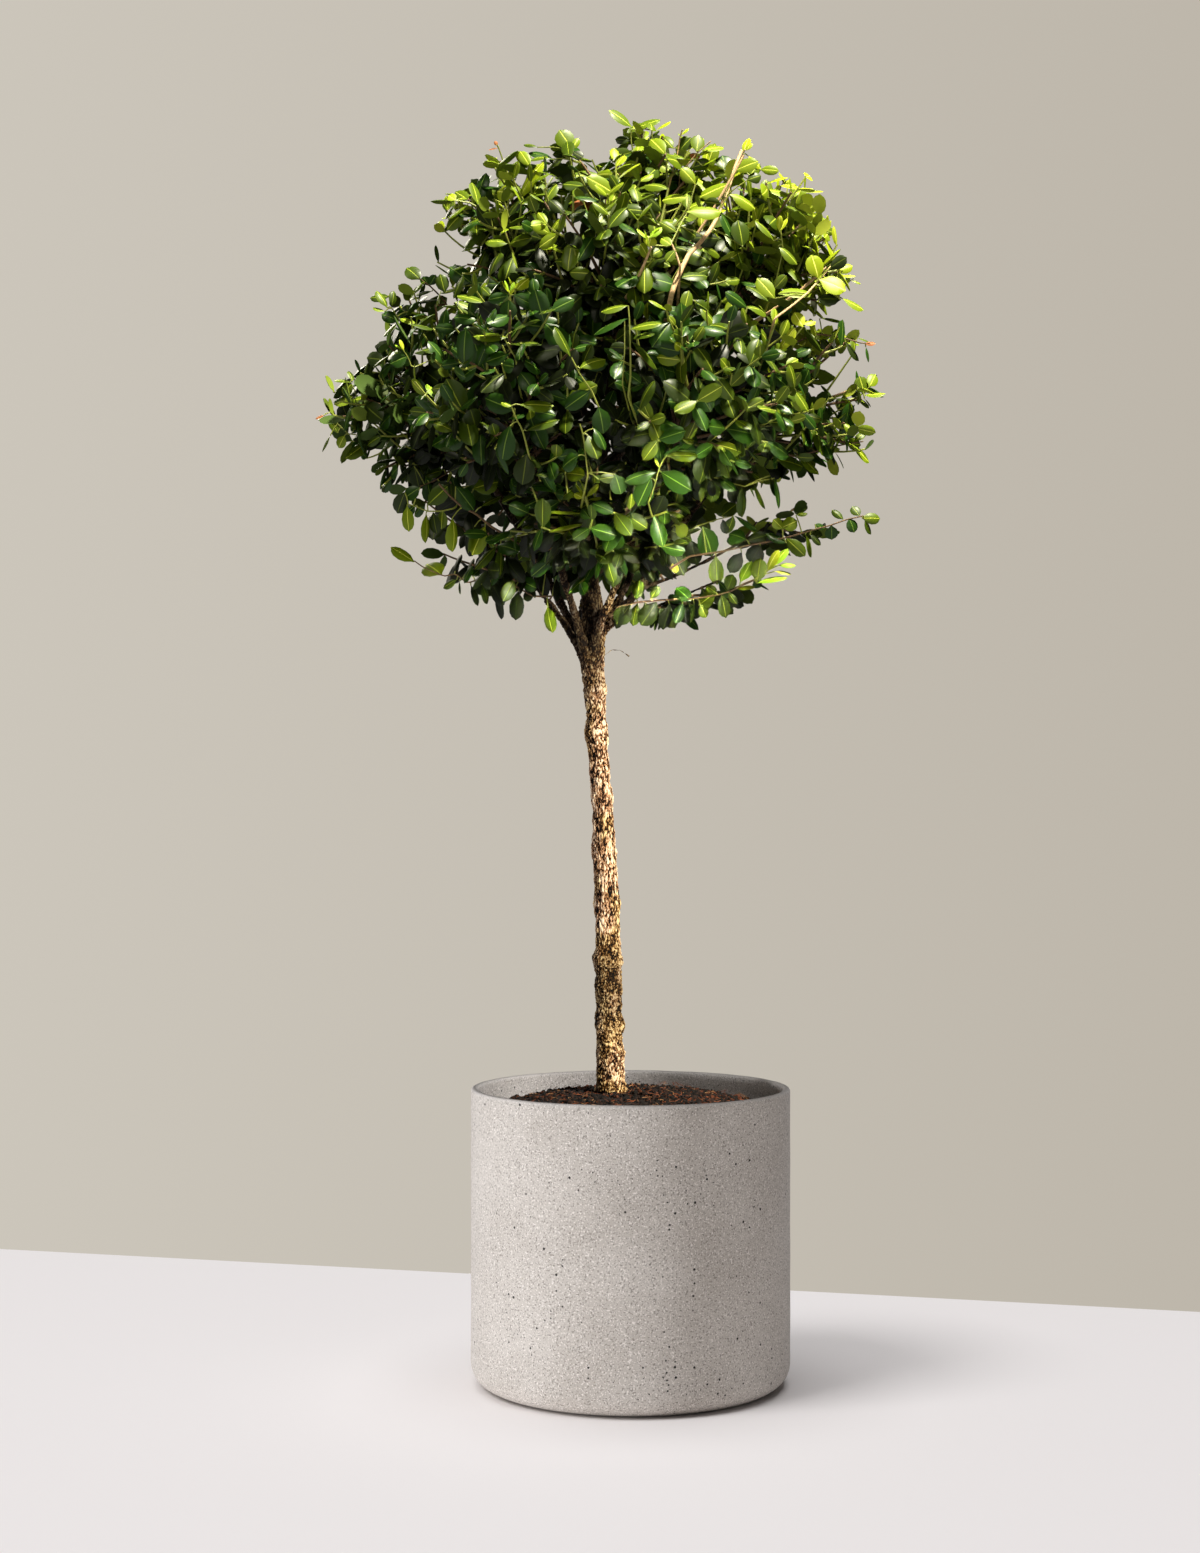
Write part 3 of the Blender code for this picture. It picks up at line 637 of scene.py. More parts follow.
def mass(middle, reach, carrier, place, radii, tips=()):
    """Where a mass is and how far it reaches, what carries it and where, its bough's radii, its tips."""
    return dict(
        middle=Vector(middle), reach=Vector(reach), carrier=carrier, place=place, radii=radii,
        tips=[Vector(tip) for tip in tips],
    )


MASSES = {
    "top": mass(
        (0.008, 0.000, 0.992), (0.100, 0.098, 0.085), "trunk", None, (0.0056, 0.0034),
        ((0.010, -0.005, 1.0765), (-0.066, -0.012, 1.055), (0.078, -0.010, 1.046)),
    ),
    "left_low": mass((-0.132, -0.012, 0.722), (0.094, 0.080, 0.066), "trunk", 188, (0.0031, 0.0023)),
    "left": mass(
        (-0.164, 0.002, 0.832), (0.102, 0.094, 0.106), "trunk", 140, (0.0036, 0.0027),
        (
            (-0.264, -0.005, 0.814), (-0.236, -0.004, 0.876), (-0.190, -0.010, 0.926),
            (-0.212, -0.020, 0.762),
        ),
    ),
    "right": mass(
        (0.118, 0.000, 0.824), (0.100, 0.094, 0.098), "trunk", -4, (0.0036, 0.0026),
        ((0.216, -0.010, 0.832), (0.194, -0.010, 0.788), (0.190, -0.012, 0.886)),
    ),
    "back_left": mass((-0.092, 0.120, 0.826), (0.096, 0.094, 0.096), "trunk", 92, (0.0034, 0.0025)),
    "back_right": mass((0.046, 0.118, 0.822), (0.096, 0.094, 0.094), "trunk", 44, (0.0034, 0.0025)),
    "front_left": mass((-0.094, -0.118, 0.824), (0.098, 0.094, 0.096), "trunk", 236, (0.0034, 0.0024)),
    "front_right": mass((0.050, -0.120, 0.820), (0.098, 0.094, 0.094), "trunk", 300, (0.0034, 0.0024)),
    "upper_left": mass(
        (-0.092, -0.010, 0.946), (0.082, 0.085, 0.098), "top", 0.52, (0.0036, 0.0025),
        ((-0.112, -0.020, 1.040), (-0.164, -0.015, 0.995)),
    ),
    "upper_right": mass(
        (0.104, -0.008, 0.942), (0.094, 0.085, 0.092), "top", 0.45, (0.0036, 0.0025),
        ((0.116, -0.012, 1.024), (0.156, -0.012, 0.990), (0.186, -0.012, 0.936)),
    ),
    "upper_front": mass((-0.008, -0.096, 0.926), (0.098, 0.082, 0.090), "top", 0.36, (0.0036, 0.0025)),
    "upper_back": mass((-0.004, 0.096, 0.932), (0.098, 0.082, 0.090), "top", 0.60, (0.0036, 0.0025)),
    "right_spray": mass((0.138, -0.008, 0.738), (0.090, 0.060, 0.036), "right", 0.28, (0.0028, 0.0022)),
    "right_low": mass((0.074, -0.026, 0.676), (0.096, 0.070, 0.048), "right", 0.13, (0.0028, 0.0022)),
    "front_low": mass(
        (-0.030, -0.080, 0.724), (0.096, 0.080, 0.062), "front_right", 0.30, (0.0028, 0.0022)
    ),
    "back_low": mass((-0.026, 0.084, 0.724), (0.100, 0.080, 0.062), "back_left", 0.30, (0.0028, 0.0022)),
}


def trunk_centre(height):
    share = (height - TRUNK_FOOT) / (TRUNK_HEAD - TRUNK_FOOT)
    lean = FOOT_X + (HEAD_X - FOOT_X) * share
    bend = TRUNK_BEND * max(0.0, math.sin(share * math.pi)) ** 1.5
    return Vector((lean + bend, TRUNK_SWAY * math.sin(share * math.tau), height))


def trunk_radius(height):
    share = (height - TRUNK_FOOT) / (TRUNK_HEAD - TRUNK_FOOT)
    radius = FOOT_RADIUS + (NECK_RADIUS - FOOT_RADIUS) * share
    radius += FLARE_RADIUS * math.exp(-(height - TRUNK_FOOT) / FLARE_HEIGHT)
    below_head = max(0.0, TRUNK_HEAD - height)
    return radius + (HEAD_RADIUS - NECK_RADIUS) * math.exp(-((below_head / HEAD_SPREAD) ** 1.5))


def bent(start, turn, end, steps):
    """The points of the curve from start to end that turn pulls towards itself."""
    shares = [i / steps for i in range(steps + 1)]
    return [start * (1 - s) ** 2 + turn * (2 * s * (1 - s)) + end * s**2 for s in shares]


def line_at(points, step):
    return (points[min(step + 1, len(points) - 1)] - points[max(step - 1, 0)]).normalized()


class Space:
    """The room of one mass: an ellipsoid, cut by a plane between it and each of the others."""

    def __init__(self, name):
        own = MASSES[name]
        self.middle = own["middle"]
        self.reach = own["reach"]
        size = sum(self.reach)
        self.planes = []
        for other_name, other in MASSES.items():
            if other_name != name:
                across = other["middle"] - self.middle
                limit = across.length * size / (size + sum(other["reach"]))
                self.planes.append((across.normalized(), limit))

    def holds(self, point, share, over=0.0):
        """Tells whether a point is in the room, or at most that far over its planes."""
        off = point - self.middle
        inside = sum((off[i] / (self.reach[i] * share)) ** 2 for i in range(3)) <= 1.0
        return inside and all(off.dot(normal) < limit + over for normal, limit in self.planes)


class Axis:
    """The line of a bough and of the stem after it, from its root to the heart of its mass."""

    def __init__(self, name, axes):
        own = MASSES[name]
        self.heart = own["middle"]
        self.root_radius, self.entry_radius = own["radii"]
        self.space = Space(name)
        self.from_trunk = own["carrier"] == "trunk"
        if self.from_trunk:
            angle = own["place"]
            outward = Vector((0, 0, 0))
            if angle is not None:
                outward = Vector((math.cos(math.radians(angle)), math.sin(math.radians(angle)), 0))
            self.root = trunk_centre(TRUNK_HEAD) + outward * FORK_RING + Vector((0, 0, GAP))
            launch = outward * math.sin(LAUNCH_LEAN) + Vector((0, 0, math.cos(LAUNCH_LEAN)))
            self.launch = launch.normalized()
        else:
            carrier = axes[own["carrier"]]
            step = round(own["place"] * AXIS_STEPS)
            line = line_at(carrier.points, step)
            outward = self.heart - carrier.points[step]
            outward = (outward - line * outward.dot(line)).normalized()
            self.root = carrier.points[step] + outward * (carrier.radius_at(own["place"]) + GAP)
            self.launch = outward * math.sin(SIDE_LAUNCH_LEAN) + line * math.cos(SIDE_LAUNCH_LEAN)
        turn = self.root + self.launch * (self.heart - self.root).length * LAUNCH_SHARE
        self.points = bent(self.root, turn, self.heart, AXIS_STEPS)
        self.entry = AXIS_STEPS
        while self.entry > 0 and self.space.holds(self.points[self.entry - 1], ENTRY_SHARE):
            self.entry -= 1
        self.entry = max(self.entry, AXIS_STEPS // 4)

    def radius_at(self, share):
        return self.root_radius + (self.entry_radius - self.root_radius) * share


axes = {}
for name in MASSES:
    axes[name] = Axis(name, axes)
for name, axis in axes.items():
    print(f"{name}: axis {1000 * sum((b - a).length for a, b in zip(axis.points, axis.points[1:])):.0f} mm")

# %% [markdown]
# ## Trunk, fork and bark
#
# The trunk is a cylinder cut into rings, and its points are moved out to the line and the girth above,
# with a collar at each old knot. The boughs are curves with a bevel. They begin a little way down
# inside the trunk, so that a voxel remesh of them all together draws the ridges that run from the
# trunk into each bough, as wood grows there. One skin over everything is what a carver would do too.

# %% Trunk and fork as one skin
# Each old knot: its height, how far it stands out, and the way it faces in degrees
KNOTS = (
    (0.278, 0.0014, 20), (0.302, 0.0030, 280), (0.333, 0.0026, 250), (0.357, 0.0036, 240),
    (0.405, 0.0016, 60), (0.452, 0.0018, 150), (0.497, 0.0020, 330), (0.548, 0.0028, 190),
    (0.585, 0.0022, 20),
)
# Heights, and how much slimmer than the solid the bark leaves the trunk there
SLIM_HEIGHTS = (0.20, 0.43, 0.48, 0.60, 0.64)
SLIMMER_BY = (0.0, 0.0, 0.0012, 0.0012, 0.0)
KNOT_HALF_HEIGHT = 0.0070
KNOT_BACK_SHARE = 0.25
TRUNK_SIDES = 40
TRUNK_BANDS = 90
# The solid heart of the fork, where all the boughs still hang together: heights and radii
CORE = ((0.616, 0.0110), (0.640, 0.0125), (0.655, 0.0105), (0.670, 0.0075), (0.690, 0.0040))
ROOT_DEPTH = 0.034
# The start of a bough inside the trunk: shares of the way down, and of the bough's own radius
BURIED = ((1.0, 0.7), (0.66, 1.0), (0.33, 1.2))
FORK_STEPS = 26
FORK_SWELL = 0.32  # how much thicker a bough is where it leaves the fork
FORK_SWELL_STEPS = 5
CLOSE_IN = 0.0095  # how far the boughs on the right are drawn in where they leave the fork
BARK_VOXEL = 0.00080

trunk = add_cylinder("bark_trunk", TRUNK_SIDES, FOOT_RADIUS, TRUNK_FOOT, TRUNK_HEAD)
start_editing(trunk)
cut_bands(TRUNK_FOOT, TRUNK_HEAD, TRUNK_BANDS)
bpy.ops.object.mode_set(mode="OBJECT")
for point in trunk.data.vertices:
    angle = math.atan2(point.co.y, point.co.x)
    radius = trunk_radius(point.co.z) - float(np.interp(point.co.z, SLIM_HEIGHTS, SLIMMER_BY))
    for knot_height, stands_out, faces in KNOTS:
        near = math.exp(-(((point.co.z - knot_height) / KNOT_HALF_HEIGHT) ** 2))
        facing = (1 + math.cos(angle - math.radians(faces))) / 2
        radius += stands_out * near * (KNOT_BACK_SHARE + (1 - KNOT_BACK_SHARE) * facing)
    centre = trunk_centre(point.co.z)
    point.co = centre + Vector((math.cos(angle), math.sin(angle), 0)) * radius


def limb_curve(name, path, radii):
    """A bevelled curve along a path, turned into a closed mesh."""
    curve = bpy.data.curves.new(name, "CURVE")
    curve.dimensions = "3D"
    curve.bevel_depth = 1.0
    curve.bevel_resolution = 3
    curve.use_fill_caps = True
    spline = curve.splines.new("POLY")
    spline.points.add(len(path) - 1)
    for point, place, radius in zip(spline.points, path, radii):
        point.co = (*place, 1.0)
        point.radius = radius
    limb = bpy.data.objects.new(name, curve)
    bpy.context.scene.collection.objects.link(limb)
    select_only(limb)
    bpy.ops.object.convert(target="MESH")
    return bpy.context.object


def ease(share):
    """A share from 0 to 1, smoothed at both ends."""
    share = min(1.0, max(0.0, share))
    return share * share * (3 - 2 * share)


core_path = [
    trunk_centre(min(height, TRUNK_HEAD)) + Vector((0, 0, max(0.0, height - TRUNK_HEAD)))
    for height, radius in CORE
]
limbs = [limb_curve("limb_core", core_path, [radius for height, radius in CORE])]
for name, axis in axes.items():
    if axis.from_trunk:
        inward = trunk_centre(TRUNK_HEAD - ROOT_DEPTH) - axis.root
        rightward = max(0.0, math.cos(math.radians(MASSES[name]["place"] or 90)))
        path = [axis.root + inward * share for share, girth in BURIED]
        radii = [axis.root_radius * girth for share, girth in BURIED]
        for i in range(FORK_STEPS):
            drawn_in = CLOSE_IN * rightward * (1 - ease(i / (FORK_STEPS - 6)))
            path.append(axis.points[i] - Vector((drawn_in, 0, 0)))
            swell = 1 + FORK_SWELL * math.exp(-i / FORK_SWELL_STEPS)
            radii.append(axis.radius_at(i / AXIS_STEPS) * swell)
        radii[-1] *= 0.6
        limbs.append(limb_curve("limb_" + name, path, radii))
select_only(*limbs, trunk)
bpy.ops.object.join()
bake_in(trunk, "one_skin", "REMESH", mode="VOXEL", voxel_size=BARK_VOXEL)
bake_in(trunk, "soften", "SMOOTH", factor=0.5, iterations=6)
print("trunk and fork:", len(trunk.data.vertices), "points")

# %% [markdown]
# Old boxwood bark breaks into small flakes with dark cracks between them. Where one has dropped off, the
# next layer shows, so each flake gets a level of its own: cells of a Voronoi pattern, each with a number
# made from its centre, give the flakes, and finer noise frays them. They are long and upright halfway up
# the trunk and short near its foot. How high each point ends up is kept as an attribute, relief, which
# the material reads, so that the dark colour, partly painted shade, sits exactly in the cracks.

# %% Bark relief
FLAKE = 0.0019
FRAY = 0.0012
WANDER_SIZE = 0.005  # the size of the waves in the flakes' outlines, and how far they stray
WANDER = 0.0017
CRACK_WIDTH = 0.36  # as a share of a flake
WAVE_SIZE = 0.006
LUMP_SIZE = 0.009
RELIEF_DEPTH = 0.0019
LUMP_DEPTH = 0.0012
RELIEF_MIDDLE = 0.55  # the relief that leaves a point where it is
# Heights, and how far up the pattern has run there: it runs slowly where the flakes are long
GRAIN_HEIGHTS = (0.24, 0.37, 0.41, 0.50, 0.56, 0.64, 1.10)
GRAIN_RUN = (0.0, 0.095, 0.107, 0.130, 0.150, 0.186, 0.416)

noise.seed_set(11)  # without it the wander of the flakes is drawn from the clock, anew at each run


def bark_relief(place):
    """How high the bark stands at a place, from 0 in a crack to 1 on a flake."""
    drawn = Vector((place.x, place.y, float(np.interp(place.z, GRAIN_HEIGHTS, GRAIN_RUN))))
    wander = noise.noise_vector(drawn / WANDER_SIZE) * WANDER
    distances, centres = noise.voronoi((drawn + wander) / FLAKE)
    crack = min(1.0, (distances[1] - distances[0]) / CRACK_WIDTH)
    centre = centres[0]
    level = math.sin(centre.x * 12.99 + centre.y * 78.23 + centre.z * 37.72) * 437.58 % 1.0
    fray = noise.fractal(drawn / FRAY, 1.0, 2.0, 3)
    height = 0.42 * level + 0.34 * crack + 0.26 * fray + 0.22 * noise.noise(drawn / WAVE_SIZE) + 0.12
    return min(1.0, max(0.0, height))


def roughen(piece, depth, lumps):
    """Moves each point of a limb in or out by its bark, and keeps its height as an attribute."""
    mesh = piece.data
    heights = []
    moved = []
    for point in mesh.vertices:
        height = bark_relief(point.co)
        swell = noise.noise(point.co / LUMP_SIZE) * lumps
        moved.append(point.co + point.normal * (depth * (height - RELIEF_MIDDLE) + swell))
        heights.append(height)
    for point, place in zip(mesh.vertices, moved):
        point.co = place
    attribute = mesh.attributes.new("relief", "FLOAT", "POINT")
    attribute.data.foreach_set("value", heights)


roughen(trunk, RELIEF_DEPTH, LUMP_DEPTH)
for point in trunk.data.vertices:
    point.co.z = max(point.co.z, TRUNK_FOOT)
trunk.data.shade_smooth()

# %% [markdown]
# Beyond the fork each bough runs on as a thinner limb, and inside the crown as the stem that carries the
# twigs. These are tubes with the same relief, made from arrays because there are sixteen of them and
# most of their length is hidden in leaves.

# %% Boughs beyond the fork
BOUGH_SIDES = 12
BOUGH_STEP = 0.0022
HEART_RADIUS = 0.0019
SPRAYS = ("right_spray", "right_low", "left_low")
# In the loose sprays a bough is thinner: shares of its radii, and the radius in the spray's heart
SPRAY_GIRTHS = (0.55, 0.45, 0.0008)
# A dry hair of a twig that stands off the neck on the right
HAIR = (
    (-0.0240, -0.0080, 0.6130), (-0.0160, -0.0110, 0.6190), (-0.0085, -0.0120, 0.6185),
    (-0.0015, -0.0125, 0.6135),
)


def finer(path, step):
    """The same line with a point every step, and each point's share of its length."""
    path = np.asarray([tuple(point) for point in path])
    along = np.concatenate(([0], np.cumsum(np.linalg.norm(np.diff(path, axis=0), axis=1))))
    places = np.linspace(0, along[-1], max(2, round(along[-1] / step)))
    return np.stack([np.interp(places, along, path[:, k]) for k in range(3)], axis=1), places / along[-1]


boughs = Heap()
for name, axis in axes.items():
    first = FORK_STEPS - 5 if axis.from_trunk else 0
    points = axis.points[first:]
    if not axis.from_trunk:
        points = [axis.root - axis.launch * 0.006, *points]
    path, shares = finer(points, BOUGH_STEP)
    girths = (axis.radius_at(first / AXIS_STEPS), axis.entry_radius, HEART_RADIUS)
    if name in SPRAYS:
        girths = (girths[0] * SPRAY_GIRTHS[0], girths[1] * SPRAY_GIRTHS[1], SPRAY_GIRTHS[2])
    entry_share = (axis.entry - first) / (AXIS_STEPS - first)
    add_tube(boughs, path, np.interp(shares, (0, entry_share, 1), girths), BOUGH_SIDES)
hair_path = finer(HAIR, 0.002)[0]
add_tube(boughs, hair_path, [0.00028] * len(hair_path), 5)
bough_piece = boughs.make("bark_boughs", [], 60)
roughen(bough_piece, RELIEF_DEPTH * 0.45, LUMP_DEPTH * 0.5)

# %% [markdown]
# The bark's colours run with its height: near black in the cracks, partly as painted shade, brown on
# their sides, then tan, and cream on the tops of the flakes, partly as a painted highlight. Slow patches
# turn the tan towards pink or towards olive gold, and painted shade darkens the bark up towards the fork
# where the crown shades it, all but a painted sunlit strip down its right.

# %% Bark colours
def band(tree, value, start, full, fading, end):
    """A share that rises to 1 between the first two values and falls back between the last two."""
    return minus(tree, rising(tree, value, start, full), rising(tree, value, fading, end))


bark, tree, shader = new_material("bark", screen(120, 90, 60), 0.8)
shader.inputs["Specular IOR Level"].default_value = 0.12
kept = add_node(tree, "ShaderNodeAttribute", attribute_name="relief")
frayed = times(tree, grain(tree, 1100, 3, 1.8, 0.36), 0.58)
worn = times(tree, grain(tree, 110, 3, 2.4, 0.6), 0.15)
flaked = plus(tree, times(tree, kept.outputs["Fac"], 0.68), frayed)
level = minus(tree, plus(tree, flaked, worn), 0.075)
# Near black in the cracks is partly painted shade, and cream on the flake tops partly a painted highlight
gold = ramp(
    tree, level, (0.51, screen(11, 6, 3)), (0.58, screen(62, 38, 16)), (0.70, screen(146, 104, 56)),
    (0.88, screen(248, 218, 164)),
)
pink = ramp(
    tree, level, (0.49, screen(14, 8, 4)), (0.55, screen(86, 52, 30)), (0.66, screen(190, 140, 100)),
    (0.83, screen(255, 232, 202)),
)
across, depth, height = place_in(tree)[1]
pale_band = band(tree, height, 0.38, 0.43, 0.56, 0.60)
leaning = plus(tree, grain(tree, 60, 2, 2.0, 0.5), times(tree, pale_band, 0.34))
both = mix(tree, ramp(tree, leaning, (0.50, BLACK), (0.76, WHITE)), gold, pink)
damp_band = band(tree, height, 0.29, 0.315, 0.35, 0.375)
# Painted shade darkens the upper trunk where the crown shades it, but for a painted sunlit strip down its
# right that the sun still reaches
painted_sunlit_strip = times(tree, band(tree, across, -0.0270, -0.0200, -0.0150, -0.0080), 0.60)
painted_sunlit_below_neck = minus(tree, 1.0, rising(tree, height, 0.650, 0.690))
spared_from_painted_shade = minus(tree, 1.0, times(tree, painted_sunlit_strip, painted_sunlit_below_neck))
painted_crown_shade = times(tree, times(tree, rising(tree, height, 0.553, 0.624), 0.92), spared_from_painted_shade)
dark = worked_out(tree, "MAXIMUM", times(tree, damp_band, 0.45), painted_crown_shade)
tree.links.new(mix(tree, dark, both, screen(16, 10, 6)), shader.inputs["Base Color"])
bump(tree, shader, level, 0.6, 0.0008)
hand_over(trunk, ["trunk", *["bough_" + name for name in MASSES]], bark)
hand_over(bough_piece, (), bark)

# %% [markdown]
# ## Growth of the crown
#
# From each stem, twigs run out to places spread evenly over the mass and to its named tips. Each twig
# bears side shoots, turned on by the golden angle from one to the next, and every shoot ends in its own
# pairs of leaves. Drawing the shoots first and the leaves after lets the outermost leaves take their
# room before the inner ones, which is how the outside of a clipped ball closes up.

# %% Twigs and shoots
GOLDEN_ANGLE = math.pi * (3 - math.sqrt(5))
TWIGS_PER_MASS = 20
TWIG_INSET = 0.012
TWIG_STEPS = 9
TWIG_SCATTER = 0.25
TWIG_LEAFY = 0.060  # the most of a twig, back from its tip, that bears leaves
BRANCH_BACK = 0.55
STEM_BARE_SHARE = 0.10
INWARD_LIMIT = -0.55
SHOOT_SPACING = 0.0145
SHOOT_LENGTH = 0.050
SHOOT_LEAN = math.radians(46)
SHOOT_TRIES = (1.0, 0.8, 0.62, 0.46)
SHOOT_FIRST_SHARE = 0.25
SHOOT_STEPS = 6
BARE_STEPS = 8  # no twig leaves an axis before that point of it
# How far twigs and side shoots may reach over the planes between their mass and the others
TWIG_OVER = 0.002
SHOOT_OVER = 0.004
SHOOT_RISE = 0.55  # how strongly a side shoot bends up to the light, and out of the crown
SHOOT_OUT = 0.35
PALE_STEPS = 14
# Each kind of wood: its radius at its root and at its tip
TWIG_RADII = (0.0018, 0.0009)
RUN_RADII = (0.0014, 0.0008)
SHOOT_RADII = (0.00120, 0.00070)
PALE_RADII = (0.0021, 0.0009)
# The runs at the back of each loose spray: where on its stem one starts, where it ends, how far it sags
SPRAY_RUNS = {
    "right_spray": (
        (0.10, (0.128, 0.045, 0.714), 0.004), (0.45, (0.168, 0.034, 0.724), 0.004),
        (-0.20, (0.108, 0.020, 0.730), 0.000),
    ),
    "right_low": (
        (0.10, (0.046, 0.034, 0.662), 0.003), (0.30, (0.084, 0.030, 0.668), 0.004),
        (0.50, (0.106, 0.010, 0.680), 0.004),
    ),
    "left_low": (
        (0.15, (-0.160, 0.030, 0.704), 0.004), (0.05, (-0.098, -0.034, 0.676), 0.002),
        (0.15, (-0.132, -0.040, 0.688), 0.003), (0.30, (-0.122, 0.042, 0.692), 0.004),
        (0.45, (-0.172, -0.030, 0.742), 0.002), (0.55, (-0.150, -0.046, 0.756), 0.002),
        (0.60, (-0.146, 0.028, 0.756), 0.002), (0.10, (-0.118, -0.056, 0.712), 0.002),
    ),
}
# Bare pale twigs that show at the front: the axis and its point that one leaves, its turn and its tip
PALE_TWIGS = (
    ("upper_front", 47, (0.034, -0.110, 0.905), (0.090, -0.098, 1.012)),
    ("upper_right", 40, (0.110, -0.080, 0.880), (0.160, -0.060, 0.930)),
    ("upper_front", 52, (-0.004, -0.150, 0.880), (0.014, -0.168, 0.922)),
)
# Gaps in the crown that stay open to the sky: x and z as the camera sees them, and how wide, mm
OPEN_PLACES = (
    (-30, 1071, 18), (-28, 1046, 12), (-148, 962, 16), (-238, 880, 16), (180, 850, 14), (196, 960, 12),
    (-31, 951, 10), (-51, 979, 9), (-178, 866, 8), (-140, 842, 8), (108, 902, 7), (-196, 800, 8),
    (88, 867, 8), (-62, 728, 7), (138, 801, 7), (-94, 918, 7), (180, 860, 14), (171, 846, 7),
    (-143, 1024, 8), (-231, 906, 10), (-161, 964, 8), (11, 1078, 12), (29, 1076, 12), (47, 1073, 12),
    (63, 1068, 12), (77, 1060, 11), (94, 1053, 8), (-2, 1080, 7), (194, 782, 7), (-254, 862, 8),
    (-219, 889, 12), (-226, 872, 8), (-239, 855, 7), (-231, 775, 8), (182, 997, 12), (185, 980, 10),
    (183, 964, 8), (171, 1011, 8), (161, 841, 8), (204, 813, 9), (215, 829, 7), (-16, 1059, 6),
)


def in_picture(point):
    """The place in the plane of the trunk where the camera sees a point."""
    off = point - CAMERA_PLACE
    return CAMERA_PLACE + off * (-CAMERA_PLACE.y / off.y)


def in_the_open(point):
    """Tells whether a point stands in one of the gaps, as the camera sees it."""
    seen = in_picture(point)
    return any(
        math.hypot(seen.x - x / 1000, seen.z - z / 1000) < width / 1000 for x, z, width in OPEN_PLACES
    )


class Shoot:
    """A twig or a side shoot: its line, its radii and how far back from its tip it bears leaves."""

    def __init__(self, path, radii, leafy, wood, spray=False):
        self.path = path
        self.radii = radii
        self.leafy = leafy
        self.wood = wood
        self.spray = spray
        self.length = sum((b - a).length for a, b in zip(path, path[1:]))

    def place(self, back):
        """The point that far back from the tip, and the way the shoot runs there."""
        for start, end in zip(self.path[-2::-1], self.path[::-1]):
            length = (end - start).length
            if back <= length:
                line = (end - start) / length
                return end - line * back, line
            back -= length
        return self.path[0], (self.path[1] - self.path[0]).normalized()

    def shorten(self, cut):
        """Takes that length off the tip."""
        tip = self.place(cut)[0]
        while len(self.path) > 2 and cut >= (self.path[-1] - self.path[-2]).length:
            cut -= (self.path.pop() - self.path[-1]).length
        self.path[-1] = tip
        self.radii = self.radii[:len(self.path)]


def scatter(chance, most):
    return Vector([chance.uniform(-most, most) for _ in range(3)])


def out_from(line, angle):
    """The way straight out from a line, at an angle round it."""
    across = line.orthogonal().normalized()
    return across * math.cos(angle) + line.cross(across) * math.sin(angle)


def stem_of(axis):
    """The part of an axis that bears twigs."""
    return axis.points[axis.entry + round((AXIS_STEPS - axis.entry) * STEM_BARE_SHARE):]


def grow_twig(axis, target, chance):
    """A curved twig from the stem to target, which it leaves at a slant."""
    stem = stem_of(axis)
    nearest = min(range(len(stem)), key=lambda i: (stem[i] - target).length)
    back = (stem[nearest] - target).length * BRANCH_BACK
    while nearest > 0 and back > 0:
        back -= (stem[nearest] - stem[nearest - 1]).length
        nearest -= 1
    start = stem[nearest]
    line = line_at(stem, nearest)
    span = (target - start).length
    way = line * 0.5 + (target - start).normalized() + scatter(chance, TWIG_SCATTER)
    turn = start + way.normalized() * span * 0.5
    path = bent(start, turn, target, TWIG_STEPS)
    return Shoot(path, np.linspace(*TWIG_RADII, len(path)), min(TWIG_LEAFY, span * 0.7), "old")


def grow_run(axis, share, target, sag):
    """One long run of a spray, which hangs a little between its start and its tip."""
    first = axis.entry + round(share * (AXIS_STEPS - axis.entry))
    start = axis.points[max(first, BARE_STEPS)]
    turn = (start + target) / 2 - Vector((0, 0, 2 * sag))
    path = bent(start, turn, target, TWIG_STEPS)
    return Shoot(path, np.linspace(*RUN_RADII, len(path)), (target - start).length * 0.96, "old", True)


def even_targets(name, chance, count):
    """Places spread evenly over the mass, but for the side towards the middle of the crown."""
    space = axes[name].space
    outward = (space.middle - CROWN_CENTRE).normalized()
    offset = chance.uniform(0, math.tau)
    for i in range(count):
        height = 1 - 2 * (i + 0.5) / count
        angle = offset + i * GOLDEN_ANGLE
        flat = math.sqrt(1 - height * height)
        way = Vector((flat * math.cos(angle), flat * math.sin(angle), height))
        if way.dot(outward) < INWARD_LIMIT:
            continue
        depth = chance.uniform(0.70, 1.0)
        for share in (1.0, 0.85, 0.7, 0.55):
            target = space.middle + Vector(
                [way[k] * (space.reach[k] - TWIG_INSET) * depth * share for k in range(3)]
            )
            if space.holds(target, 1.0, TWIG_OVER) and not in_the_open(target):
                yield target
                break


